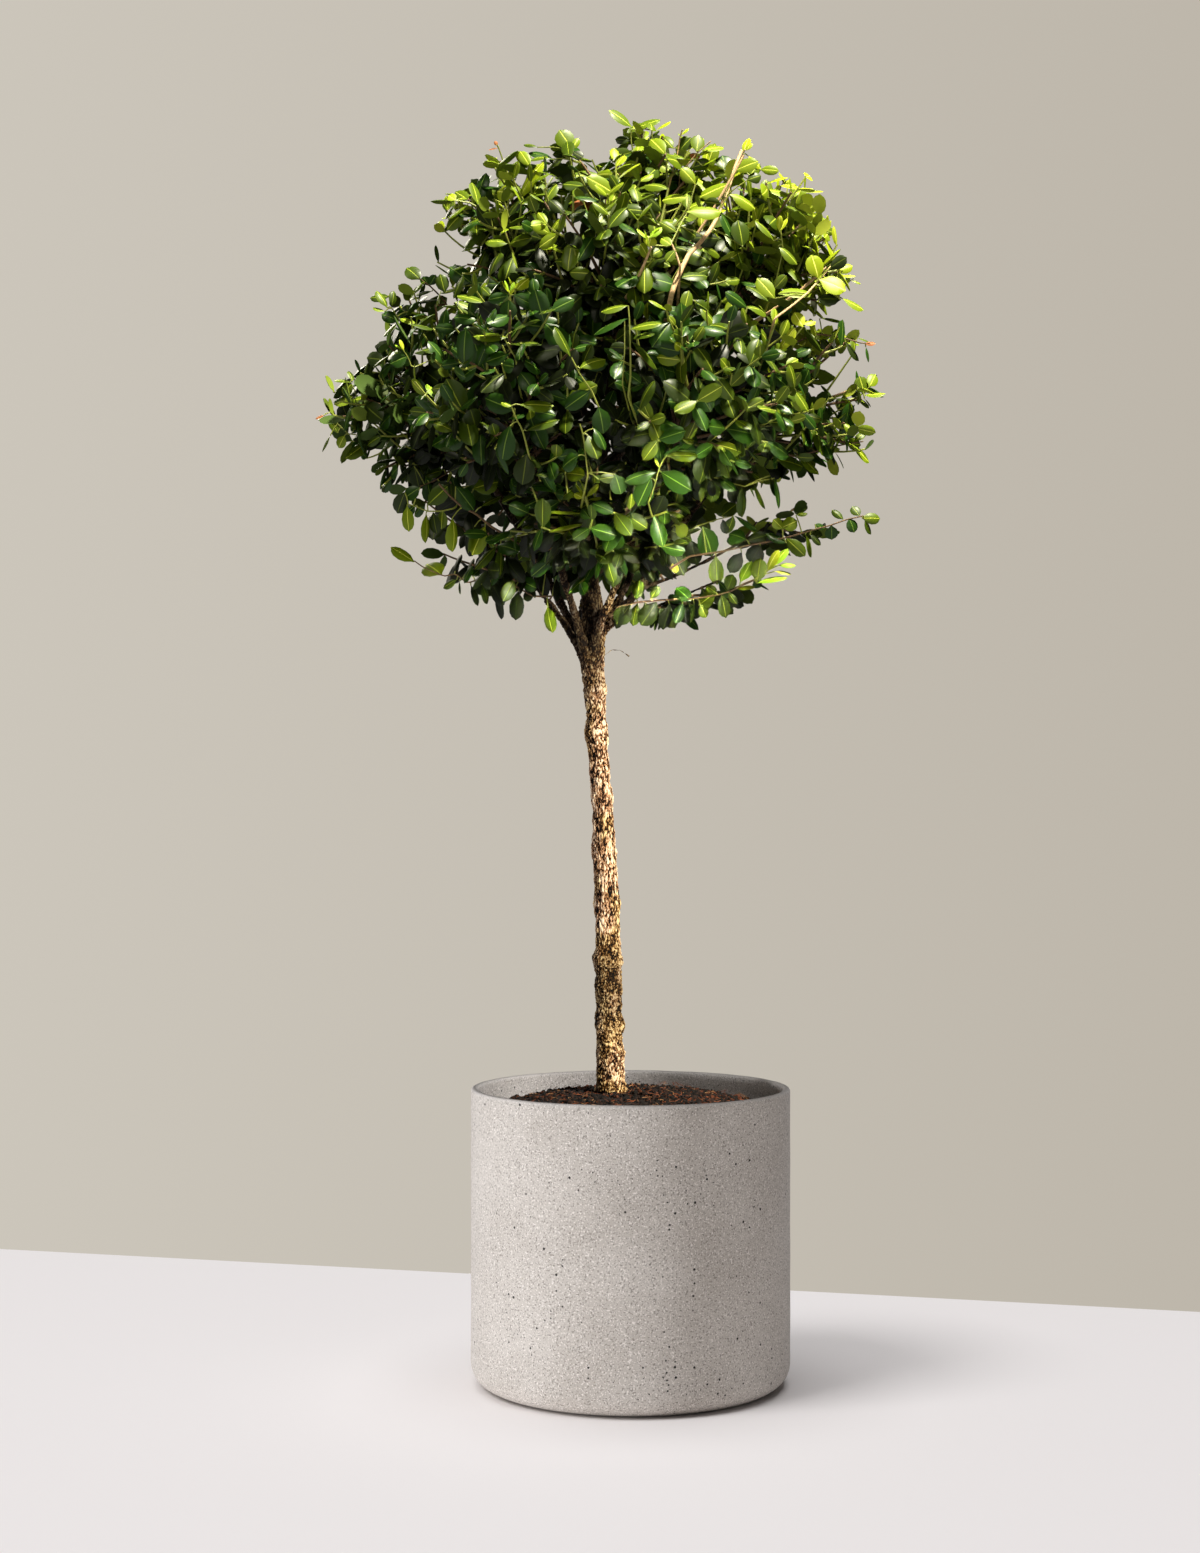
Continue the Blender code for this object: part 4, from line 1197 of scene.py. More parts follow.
def grow_side_shoots(twig, space, chance):
    """Shoots along a twig, each a golden angle on from the last and bending up to the light."""
    back = SHOOT_SPACING * chance.uniform(0.7, 1.2)
    number = 0
    offset = chance.uniform(0, math.tau)
    found = []
    while back < twig.length * (1 - SHOOT_FIRST_SHARE):
        root, line = twig.place(back)
        sideways = out_from(line, offset + number * GOLDEN_ANGLE)
        lean = SHOOT_LEAN * chance.uniform(0.8, 1.2)
        way = (line * math.cos(lean) + sideways * math.sin(lean)).normalized()
        outward = (root - CROWN_CENTRE).normalized()
        bend = (way + Vector((0, 0, SHOOT_RISE)) + outward * SHOOT_OUT).normalized()
        length = SHOOT_LENGTH * chance.uniform(0.6, 1.2) * (0.75 + 0.6 * min(1.0, back / 0.06))
        for share in SHOOT_TRIES:
            end = root + (way * 0.4 + bend * 0.6) * length * share
            if space.holds(end, 0.98, SHOOT_OVER) and not in_the_open(end):
                turn = root + way * length * share * 0.5
                path = bent(root, turn, end, SHOOT_STEPS)
                radii = np.linspace(*SHOOT_RADII, len(path))
                found.append(Shoot(path, radii, length * share * 0.8, "young"))
                break
        number += 1
        back += SHOOT_SPACING * chance.uniform(0.8, 1.3)
    return found


shoots = []
for name, axis in axes.items():
    chance = random.Random("twigs of " + name)
    if name in SPRAY_RUNS:
        for share, target, sag in SPRAY_RUNS[name]:
            shoots.append((grow_run(axis, share, Vector(target), sag), name))
        stem = stem_of(axis)
        leafy = 0.9 * (stem[-1] - stem[0]).length
        shoots.append((Shoot(stem, [0.0005] * len(stem), leafy, "old", True), name))
        continue
    targets = [tip - (tip - axis.heart).normalized() * TWIG_INSET for tip in MASSES[name]["tips"]]
    for target in targets + list(even_targets(name, chance, TWIGS_PER_MASS)):
        twig = grow_twig(axis, target, chance)
        shoots.append((twig, name))
        shoots += [(shoot, name) for shoot in grow_side_shoots(twig, axis.space, chance)]
for name, start, turn, end in PALE_TWIGS:
    path = bent(axes[name].points[start], Vector(turn), Vector(end), PALE_STEPS)
    shoots.append((Shoot(path, np.linspace(*PALE_RADII, len(path)), 0.045, "pale"), name))
print("twigs and shoots:", len(shoots))

# %% [markdown]
# The loose sprays under the crown and the single tips that stand out from its edge are what the eye
# compares first, so their stems and leaves are listed one by one. Both are written in millimetres as the
# camera sees them in the plane of the trunk, and sight carries them to a depth of their own. Each stem
# starts at the nearest wood, so that nothing hangs free.

# %% Sprigs listed one by one
# Each sprig: its name, its depth at both ends, its girth and its wood. Then come the stem's points as
# x,z and its leaves as root x,root z,tip x,tip z,width,tone, where the tone counts along TONES below.
# The tones of the set leaves follow how dark or lit each leaf looks, so they carry painted light and shade
# too
SPRIGS = """right_upper -20 -30 1.0 old
25,683 50,699 78,703 99,708 116,711 137,716 154,721 169,725 183,730 197,733
72,699,74,675,12,4 61,724,72,699,17,2 94,702,84,685,11,0 110,708,102,694,14,0 99,712,116,718,10,1
98,713,84,720,12,2 132,710,116,719,8,2 129,722,121,730,9,5 128,723,141,729,11,5 140,734,149,736,4,4
132,714,145,700,8,4 148,717,160,702,8,4 152,717,162,710,6,1 156,726,165,723,5,2 170,725,171,713,10,2
180,730,172,739,6,3 185,731,190,720,9,2 194,733,188,742,8,3 196,731,211,732,9,4 198,730,205,718,5,3

right_stub -15 -25 0.8 young
32,706 55,724 73,730 87,733
77,733,90,744,11,3 87,733,83,717,8,3 88,733,109,723,8,2 78,730,82,718,7,0 50,713,58,692,13,0
35,704,46,683,13,1 36,694,39,685,6,6 42,725,45,708,8,1 25,708,32,688,11,1 17,730,22,706,13,1

right_lower -25 -45 1.0 old
-16,647 -11,656 6,660 29,662 53,663 73,666 87,670 94,675 104,679
0,658,-12,642,14,1 6,659,0,642,8,3 22,660,11,642,14,1 33,658,30,636,10,0 44,659,39,643,9,2
54,659,55,643,5,1 59,658,65,648,8,4 51,661,40,673,12,2 72,668,57,658,12,3 73,667,65,675,8,3
17,663,24,673,7,3 5,662,8,680,9,3 77,666,82,647,10,3 83,668,89,659,5,3 82,670,88,685,10,1
93,677,102,696,8,8 107,677,110,697,12,4 116,686,121,704,7,7 121,690,130,708,7,8 107,676,129,686,8,8
125,691,138,695,4,8 122,686,135,688,3,7 90,671,105,675,4,6 -7,657,-16,640,8,0 12,660,18,645,9,1

left_sprig -10 -30 0.9 old
-66,665 -82,665 -93,671 -110,682 -124,681 -138,676 -148,684 -158,682 -176,690 -183,695
-183,694,-202,708,10,5 -160,683,-173,697,18,5 -147,679,-159,674,6,3 -148,686,-149,702,3,0
-138,685,-135,698,3,1 -134,682,-128,688,6,2 -145,678,-143,667,3,1 -135,674,-127,658,7,0
-126,675,-118,660,8,1 -118,677,-108,657,10,0 -112,669,-115,646,6,0 -95,669,-99,647,10,0
-82,668,-91,663,8,0 -70,656,-69,635,9,4 -72,684,-78,664,10,0 -63,680,-58,662,8,0 -88,686,-83,669,9,0
-104,687,-98,670,8,0

left_stem -30 -75 1.5 old
-76,691 -99,713 -118,724 -131,735 -143,741 -153,750 -162,760
-151,731,-144,705,11,5 -132,724,-143,705,4,4 -123,724,-136,701,13,5 -110,708,-108,682,5,3
-98,706,-103,694,6,3 -133,756,-113,763,14,4 -148,758,-132,739,13,2 -126,741,-111,752,7,4
-93,708,-85,696,7,1

left_side_stem -60 -70 0.9 young
-148,740 -160,737 -172,737 -182,741 -188,743
-189,741,-189,720,8,5 -173,735,-169,711,5,5 -159,738,-161,722,7,4 -191,753,-199,735,12,1
-172,742,-155,757,13,3 -182,742,-192,734,8,2 -178,757,-192,749,11,2 -167,736,-165,718,7,1

centre_burst -105 -150 1.1 young
-25,696 -28,708 -32,724 -36,740 -38,749
-38,735,-71,741,4,5 -37,726,-69,726,6,5 -38,749,-45,760,3,6 -38,750,-39,765,2,6 -37,749,-31,761,3,6
-40,748,-48,753,5,7 -36,746,-26,753,4,6 -34,721,-21,727,6,3 -29,706,-16,713,8,3

top_pair -5 -10 1.0 young
3,1024 2,1043 0,1053 1,1060
1,1062,-16,1076,11,4 3,1060,24,1071,9,4 22,1059,32,1070,3,6 15,1051,22,1063,3,3 0,1051,-13,1053,8,1
2,1046,18,1056,8,5 2,1041,-17,1034,10,3

top_left_tip -10 -20 1.0 young
-50,1009 -49,1026 -50,1043
-50,1044,-60,1060,15,4 -50,1043,-44,1053,6,5 -49,1041,-40,1036,8,1 -66,1035,-84,1044,8,2
-79,1045,-89,1051,5,3 -53,1026,-66,1041,8,3

left_bud 0 -15 1.0 young
-102,1009 -104,1024 -108,1034 -111,1043 -113,1047
-112,1044,-120,1045,3,9 -113,1046,-114,1050,3,9 -106,1024,-115,1030,4,3 -103,1022,-88,1043,8,4
-104,1021,-122,1019,5,3

left_top_stem -30 -45 1.1 young
-81,948 -91,960 -106,977 -121,990 -136,998 -149,1000
-129,996,-132,1018,9,4 -138,996,-156,986,8,4 -148,1000,-154,1005,8,6 -149,996,-160,988,6,1
-149,999,-169,1001,3,3 -123,978,-146,966,10,3 -120,987,-143,984,7,4 -127,961,-143,960,4,4
-106,977,-110,995,15,5 -97,1005,-114,1011,14,6 -94,1000,-82,1032,9,6

notch -20 -30 1.0 young
-120,916 -126,924 -132,929
-130,934,-128,955,8,3 -110,949,-127,954,6,2 -101,944,-126,947,5,1 -132,928,-152,943,14,2
-134,928,-115,941,13,2 -157,922,-161,937,10,3 -122,922,-106,929,8,2

left_shoulder -10 -25 0.9 old
-155,912 -161,919 -169,927 -176,932 -179,934
-178,933,-189,945,12,3 -171,928,-176,937,8,2 -170,928,-165,936,7,2 -175,929,-187,923,5,3
-168,923,-182,922,5,3 -161,916,-183,914,5,0

left_three -5 -20 0.9 young
-187,890 -195,898 -202,909
-206,909,-211,925,7,4 -202,911,-199,924,6,3 -195,898,-211,905,10,2 -208,906,-218,910,4,5
-196,897,-212,889,6,4 -188,906,-190,913,8,1

left_edge 0 -15 1.0 old
-197,836 -203,848 -208,860
-208,865,-223,867,12,1 -203,848,-220,845,12,2 -201,851,-195,872,13,2

left_low_edge 0 -10 0.9 young
-219,821 -231,831 -233,838 -237,846
-235,846,-251,851,5,4 -235,847,-238,857,5,4 -236,845,-243,836,8,4 -233,833,-251,829,8,5
-245,829,-239,815,13,1

left_far_bud 0 -10 0.7 young
-237,801 -248,811 -252,822 -260,818
-259,818,-267,817,3,9 -248,803,-253,816,8,4 -242,801,-248,791,8,5 -219,797,-242,783,10,4
-254,801,-264,790,3,4

left_lime -70 -100 1.0 young
-153,797 -156,810 -159,824
-160,827,-169,848,7,8 -158,828,-155,848,4,7 -154,824,-145,846,4,5 -163,827,-178,814,5,7
-161,810,-180,803,7,3 -156,801,-136,814,8,4

right_top_a 0 -10 1.0 pale
32,1009 36,1026 40,1041 42,1054 44,1060
36,1044,27,1056,10,4 42,1043,51,1053,11,3 43,1055,47,1062,3,6 35,1024,21,1034,10,5

right_top_b -5 -15 0.8 pale
42,1022 56,1040 68,1050
56,1041,58,1057,11,4 61,1042,79,1049,8,5 56,1034,54,1043,8,9 61,1029,72,1036,3,5 50,1027,66,1031,8,3

right_top_c -5 -15 1.0 pale
81,1009 88,1024 94,1037 97,1043
96,1041,99,1055,4,7 98,1042,102,1049,3,6 81,1028,78,1040,12,2 88,1022,109,1029,8,4 99,1038,112,1029,6,6
110,1026,124,1025,7,5 99,1018,111,1023,9,1

right_top_d -5 -15 0.8 old
115,988 120,998 125,1006 129,1015 131,1019
117,1003,115,1019,10,4 127,1000,140,1009,6,5 139,996,144,1010,14,5 129,1014,135,1017,3,6

right_high_edge 0 -15 0.9 old
135,966 142,977 146,989 153,996
146,988,166,988,5,5 145,979,159,978,4,4 158,976,173,974,8,4 157,966,173,953,4,3 141,943,166,958,8,5

right_bright -140 -40 1.1 pale
122,900 138,912 150,922 160,933 171,946 176,951
159,934,154,953,14,6 169,943,182,951,10,1 160,933,182,925,16,6 178,916,160,918,11,1 179,917,199,910,9,5
125,921,154,927,11,5 122,917,108,935,12,5

right_bud -10 -20 0.7 young
176,922 182,928 186,932 189,934
187,932,195,932,3,5 184,930,184,937,3,3

right_middle -20 -30 1.0 old
135,878 150,884 160,887 173,885 186,882 196,879 203,879
160,900,180,903,5,4 143,889,168,889,11,5 170,888,184,887,10,5 160,884,175,872,9,1 182,880,196,867,8,1
192,883,202,885,4,4 198,879,207,879,4,4 199,876,205,865,3,2

right_inner -30 -40 0.9 young
135,861 141,872 148,880
143,863,160,862,8,2 146,851,159,849,6,1 153,868,163,863,5,3 141,855,159,848,7,1

right_tip 0 -10 0.9 young
154,810 169,818 182,826 188,831 196,836 203,843
198,836,194,851,12,4 202,842,209,855,9,5 198,835,215,837,6,5 193,834,187,844,8,1 198,832,205,827,3,3
172,829,165,845,3,3 176,821,187,807,14,2 188,821,196,811,3,1 176,824,179,833,7,3

right_low_tip 0 -10 0.9 old
118,782 131,783 154,787 173,792 190,795 197,796
190,796,198,806,6,4 188,792,205,781,8,5 173,787,182,774,4,3 182,793,176,803,8,4 169,789,155,797,11,1
143,784,160,769,9,4 132,780,143,765,5,3 119,779,107,790,12,2

pale_fork -165 -60 2.3 pale
35,922 39,933 45,946 49,954 57,962 66,973 72,983 76,993 81,1005 85,1017 89,1030 94,1042
45,948,32,954,9,4 35,933,50,930,9,3 84,1014,58,1005,11,5 84,1005,108,1000,11,5 88,1025,107,1033,11,5
99,1017,110,1022,8,3 42,978,56,972,12,3 95,961,92,983,14,3 87,966,79,989,8,2 77,997,62,1000,7,3

pale_fork_side -165 -160 1.3 pale
42,944 39,954 35,963
35,962,26,970,8,5 38,958,30,948,7,4

top_green_stem -150 -135 0.9 young
33,961 39,973 44,983 49,991
48,990,77,996,13,5 39,973,26,982,8,4 55,1014,44,1027,10,5 49,1002,27,1005,10,5

middle_fill -40 -60 0.8 young
-21,873 -26,860 -31,845
-38,863,-41,843,13,1 -24,853,-33,834,12,1 -27,863,-16,846,12,0 -34,845,-22,829,11,1 -43,872,-29,860,11,1

left_under -20 -35 0.8 old
-136,785 -151,772 -165,763 -178,758
-183,775,-179,757,11,1 -172,763,-168,745,11,2 -160,758,-164,740,10,1 -151,767,-147,750,10,2
-142,777,-142,760,9,1 -158,772,-174,768,8,3

right_gap_fill -5 -15 0.8 young
72,1009 83,1019 93,1026
79,1026,77,1039,10,3 91,1024,99,1037,8,4 101,1021,110,1033,8,4 84,1021,70,1027,8,4

front_lime_a -150 -158 0.7 young
18,948 17,958 15,966
15,967,6,977,4,8 16,968,24,979,5,8 15,961,18,970,10,7 13,956,2,962,7,3 17,953,28,961,8,4

front_lime_b -92 -98 0.7 young
-99,903 -100,913 -102,921
-101,920,-106,932,4,7 -101,920,-100,932,3,7 -102,916,-120,915,10,2 -99,914,-87,923,8,2
-101,911,-104,900,9,3

front_lime_c -70 -76 0.6 young
-185,858 -188,867 -192,873
-192,873,-199,879,3,8 -192,873,-193,882,3,7 -189,868,-203,862,11,2

front_lime_d -92 -100 0.7 young
129,958 128,968 127,975
126,974,124,986,4,7 127,974,131,986,4,7 121,966,112,985,7,4 125,961,143,951,8,4

front_lime_e -88 -96 0.9 young
111,855 122,869 133,879 141,887 146,893
146,893,139,906,10,7 146,895,157,900,5,7 126,872,135,892,9,7 115,863,129,841,8,6 110,872,103,882,9,2

front_slant -186 -192 1.0 young
-27,825 -33,839 -43,853 -50,867
-51,868,-62,894,8,3 -43,858,-23,872,10,4 -34,839,-55,825,12,2 -27,825,-21,804,14,2

front_upright_a -182 -188 1.1 young
-2,834 0,850 0,867 -1,900
0,891,25,898,8,4 0,881,28,868,8,3 -2,911,-25,910,8,4 -2,900,-32,896,8,2

front_upright_b -180 -184 0.8 young
-7,845 -5,873 -5,898
-7,865,-21,877,7,2 -5,855,9,846,8,2

front_left_stem -176 -184 1.1 young
-86,784 -89,797 -92,807 -97,816 -101,826
-93,827,-65,829,11,4 -88,805,-63,819,8,3 -102,809,-112,781,13,2 -88,785,-91,761,15,1 -100,825,-109,831,4,5

front_middle_stem -184 -190 1.0 young
-36,768 -38,785 -40,801 -43,811
-36,801,-27,782,12,3 -31,807,-19,793,8,2 -44,784,-61,777,13,2 -27,764,-13,767,8,3 -13,768,-7,752,13,2

front_right_pairs -176 -182 0.9 young
15,744 20,757 23,769 25,775
22,770,-3,768,11,2 17,765,6,742,14,2 26,770,50,754,12,2 31,784,57,786,9,4 24,774,22,783,3,7

front_left_cluster -160 -168 1.0 young
-94,841 -96,855 -97,866 -104,878 -109,887
-103,870,-123,864,10,2 -93,866,-73,860,10,2 -102,878,-77,884,8,3 -94,855,-82,841,13,2
-97,853,-109,843,12,2 -100,889,-74,907,9,3 -104,884,-131,889,9,4

front_left_tip -160 -164 0.9 young
-101,897 -102,909 -102,919 -103,923
-104,919,-121,917,8,2 -99,920,-80,911,9,2 -103,916,-104,900,12,2 -103,923,-105,932,3,8
-102,923,-99,931,3,8

front_right_leaning -160 -160 0.9 young
52,872 49,878 43,886 38,894
50,878,52,855,14,2 43,873,39,843,7,4 38,894,32,902,5,5

low_right_fringe -45 -60 1.0 young
59,772 76,763 97,758
94,758,102,734,11,1 104,760,116,740,8,3 122,765,129,740,5,2 118,767,125,750,6,1 85,760,90,744,10,0
59,765,64,746,13,1 72,763,69,745,10,3
"""


def sight(x, z, depth):
    """The place at a depth that the camera sees at x, z in the plane of the trunk, all given in mm."""
    flat = Vector((x, 0, z)) / 1000
    return CAMERA_PLACE + (flat - CAMERA_PLACE) * (1 + depth / 1000 / -CAMERA_PLACE.y)


def tree_of(points):
    """The points in a tree that finds the nearest of them quickly."""
    tree = KDTree(len(points))
    for number, point in enumerate(points):
        tree.insert(point, number)
    tree.balance()
    return tree


FRONT_DEPTH = -155  # sprigs from there on are the nearest to the camera, mm
INTO_THE_CROWN = Vector((0, 0.045, -0.020))  # where those look for the limb that they grow from
SPRIG_STEP = 0.004
SPRIG_TAPER = 0.55
STALK_RADII = (0.0006, 0.00055, 0.0005)
STALK_FROM = 0.002  # a leaf that stands farther than this from its stem gets a stalk of wood

wood_points = [point for axis in axes.values() for point in axis.points[BARE_STEPS:]]
wood_points += [point for shoot, name in shoots for point in shoot.path if shoot.wood != "pale"]
grown_wood = tree_of(wood_points)
sprigs = SPRIGS.strip().split("\n\n")
set_leaves = []
kept_clear = []
for sprig in sprigs:
    header, *lines = sprig.split("\n")
    name, *numbers, wood = header.split()
    near_depth, far_depth, girth = map(float, numbers)
    rows = [tuple(map(int, word.split(","))) for line in lines for word in line.split()]
    stem = [row for row in rows if len(row) == 2]
    depths = np.linspace(near_depth, far_depth, len(stem))
    path = [sight(x, z, depth) for (x, z), depth in zip(stem, depths)]
    in_front = wood == "pale" or near_depth <= FRONT_DEPTH
    path.insert(0, grown_wood.find(path[0] + (INTO_THE_CROWN if in_front else Vector()))[0])
    path = [Vector(point) for point in finer(path, SPRIG_STEP)[0]]
    radii = np.linspace(girth, girth * SPRIG_TAPER, len(path)) / 1000
    shoots.append((Shoot(path, radii, 0.0, wood), name))
    stem_tree = tree_of(path)
    if in_front:
        kept_clear += path[len(path) // 5:len(path) * 2 // 3]
    for root_x, root_z, tip_x, tip_z, width, tone in rows[len(stem):]:
        point, number, distance = stem_tree.find(sight(root_x, root_z, (near_depth + far_depth) / 2))
        depth = 1000 * point.y
        root = sight(root_x, root_z, depth)
        tip = sight(tip_x, tip_z, depth)
        set_leaves.append((root, tip, width / 1000, tone))
        if in_front:
            kept_clear.append((root + tip) / 2)
        if (root - point).length > STALK_FROM:
            middle = (root + point) / 2 + Vector((0, 0, 0.001))
            shoots.append((Shoot([point, middle, root], STALK_RADII, 0.0, "young"), name))
clear_tree = tree_of([in_picture(point) for point in kept_clear])
print("sprigs set by hand:", len(sprigs), "with", len(set_leaves), "leaves")

# %% [markdown]
# ## Leaves
#
# A boxwood leaf is a small leathery oval, blunt or slightly notched at its tip, glossy above and duller
# and paler below, with one pale vein down its middle and edges that turn down. The mesh is one closed
# blade with a strip along the middle for the vein. Five blades with different bends are enough, since
# every leaf is turned, sized and widened on its own.

# %% Leaf blades
# Along the blade: how far from its stalk each row is, and how wide it is there
LEAF_ROWS = (
    (0.00, 0.07), (0.09, 0.26), (0.27, 0.79), (0.50, 1.00), (0.74, 0.91), (0.91, 0.60), (1.00, 0.22),
)
TIP_ROUND = (0, 0, 0, 0, 0, 0.02, 0.05)
# Across the blade: where each line of points runs, and how high it stands
LEAF_COLUMNS = (-1.0, -0.52, -0.055, 0.055, 0.52, 1.0)
COLUMN_HEIGHTS = (-0.004, 0.030, 0.0, 0.0, 0.030, -0.004)
BLADE_THICK = 0.016
# Each blade: how much it bends back along its length, and how far its edges turn down
BLADES = ((0.10, 0.06), (0.22, 0.09), (0.36, 0.12), (0.16, 0.02), (0.28, 0.05))
TOP, VEIN, UNDER = range(3)
STRIP_SLOTS = (TOP, TOP, VEIN, TOP, TOP)


def blade_points(bend, turn_down):
    """One leaf of length 1 and half width 1, from its stalk at the origin along +Y, face up."""
    points = []
    for (along, width), rounding in zip(LEAF_ROWS, TIP_ROUND):
        sag = -bend * along**2
        for column, height in zip(LEAF_COLUMNS, COLUMN_HEIGHTS):
            rise = height * width - turn_down * (column * width) ** 2
            points.append((column * width, along - rounding * column**2, sag + rise))
        points.append((0.0, along - rounding * 0.3, sag - BLADE_THICK * (0.5 + 0.5 * width)))
    return np.array(points)


def blade_faces():
    """The corners, sizes and slots of a leaf's faces: its face, its vein and its underside."""
    middle = len(LEAF_COLUMNS)
    row = middle + 1
    corners = []
    slots = []
    for i in range(len(LEAF_ROWS) - 1):
        low = i * row
        high = low + row
        for j, slot in enumerate(STRIP_SLOTS):
            corners += [low + j, low + j + 1, high + j + 1, high + j]
            slots.append(slot)
        corners += [low, high, high + middle, low + middle]
        corners += [low + middle, high + middle, high + middle - 1, low + middle - 1]
        slots += [UNDER, UNDER]
    sizes = [4] * len(slots) + [row, row]
    corners += list(range(middle, -1, -1))
    corners += [(len(LEAF_ROWS) - 1) * row + j for j in range(row)]
    return np.array(corners), np.array(sizes), np.array(slots + [UNDER, UNDER])


blades = [blade_points(*blade) for blade in BLADES]
blade_corners, blade_sizes, blade_slots = blade_faces()
print("a leaf has", len(blade_sizes), "faces and", int((blade_sizes - 2).sum()), "triangles")

# %% [markdown]
# Leaves stand in opposite pairs, each pair a quarter turn on from the one before it, and twist on their
# stalks until their faces are up and out. A leaf that would leave its mass's room, stick into a limb, lie
# in another leaf or hide one of the front sprigs is tried again at another slant, and then left out.

# %% Place the leaves
LEAF_LENGTH = 0.0275
# Each spray: how long its leaves are, and how much they hang
SPRAY_LEAVES = {"right_spray": (0.0215, 0.40), "right_low": (0.0245, 1.5), "left_low": (0.0250, 1.5)}
LEAF_HALF_WIDTH = 0.290
PAIR_SPACING = 0.0124
SPRAY_PAIR_SPACING = 0.0150
LEAF_LEAN = math.radians(60)
TIP_LEAN = math.radians(32)
LEAF_SCATTER = 0.16  # how far a leaf's way strays at random, and how much more at each new try
MORE_SCATTER = 0.12
# How long the last pair is beside a full one, and how much longer each pair behind it is
TIP_AGE, AGE_STEP = 0.60, 0.2
SPRAY_TIP_AGE, SPRAY_AGE_STEP = 0.75, 0.25
LEAF_SETBACK = 0.0015  # how far behind a shoot's tip its last pair stands
# How much the leaves of each pair hang, from a shoot's tip inward
PAIR_DROOP = (0.05, 0.20, 0.45, 0.60)
# Below this height leaves hang more and more, and most from that much lower down
LOW_FROM = 0.76
LOW_DEPTH = 0.10
LOW_DROOP = 1.1
LEAF_PLACES = (0.42, 0.80)  # the places along a leaf that keep their distance from other leaves
LEAF_ROOM = 0.0066
LIMB_ROOM = 0.0016
# How far leaves may reach, as a share of their mass's own reach, and over its planes
LEAF_REACH = 1.00
SPRAY_REACH = 1.45
LEAF_OVER = 0.007
# Leaves face out from the crown, less steeply up or down than where they stand, and a little up
LEAF_FACE_STEEP = 0.50
LEAF_FACE_UP = 0.42
LEAF_FACE_SPREAD = 0.75
LEAF_TRIES = 3
MOST_PAIRS = 9
SET_TILT = 0.4  # how far a set leaf may lean towards the camera or away, beside its length
SET_FACING = Vector((0.15, -1.0, 0.25))
SEEN_WIDTH = 0.57  # half the width that a set leaf shows, with a little added for its turned edges
CLEAR_ROOM = 0.0075  # how far leaves in front keep from the front sprigs, as the camera sees them
OLD_TIP_CUT = 0.009  # the most that comes off an old twig, whose first side shoot is just behind

limb_points = [(trunk_centre(TRUNK_HEAD - 0.002 * i), HEAD_RADIUS) for i in range(12)]
for axis in axes.values():
    limb_points += [(point, axis.radius_at(i / AXIS_STEPS)) for i, point in enumerate(axis.points)]
limb_tree = tree_of([point for point, radius in limb_points])


class Crowd:
    """Remembers where leaves are, so that a new one can keep clear of them."""

    def __init__(self, room):
        self.room = room
        self.cells = {}

    def key(self, point):
        return tuple(int(value // self.room) for value in point)

    def is_free(self, point):
        x, y, z = self.key(point)
        for i in (x - 1, x, x + 1):
            for j in (y - 1, y, y + 1):
                for k in (z - 1, z, z + 1):
                    for other in self.cells.get((i, j, k), ()):
                        if (other - point).length_squared < self.room**2:
                            return False
        return True

    def add(self, point):
        self.cells.setdefault(self.key(point), []).append(point)


class Leaf:
    """A leaf: where its stalk is, the way it points and faces, its size, and the shoot that bears it."""

    def __init__(self, root, way, up, length, half_width, chance, shoot=0, pair=0, tone=None):
        self.root = root
        self.way = way
        self.up = up
        self.length = length
        self.half_width = half_width
        self.blade = chance.randrange(len(BLADES))
        self.shoot = shoot
        self.pair = pair
        self.tone = tone


def hides_a_sprig(place):
    """Tells whether a leaf there would stand before one of the front sprigs, as the camera sees them."""
    number, distance = clear_tree.find(in_picture(place))[1:]
    return distance < CLEAR_ROOM and place.y < kept_clear[number].y


def try_leaf(root, way, length, space, reach, crowd):
    """Where the leaf's blade would lie, or nothing if there is no room for it."""
    places = [root + way * (length * share) for share in LEAF_PLACES]
    for place in (*places, root + way * length):
        if not space.holds(place, reach, LEAF_OVER) or in_the_open(place) or hides_a_sprig(place):
            return None
    number, distance = limb_tree.find(places[0])[1:]
    if distance < limb_points[number][1] + LIMB_ROOM:
        return None
    if not all(crowd.is_free(place) for place in places):
        return None
    return places


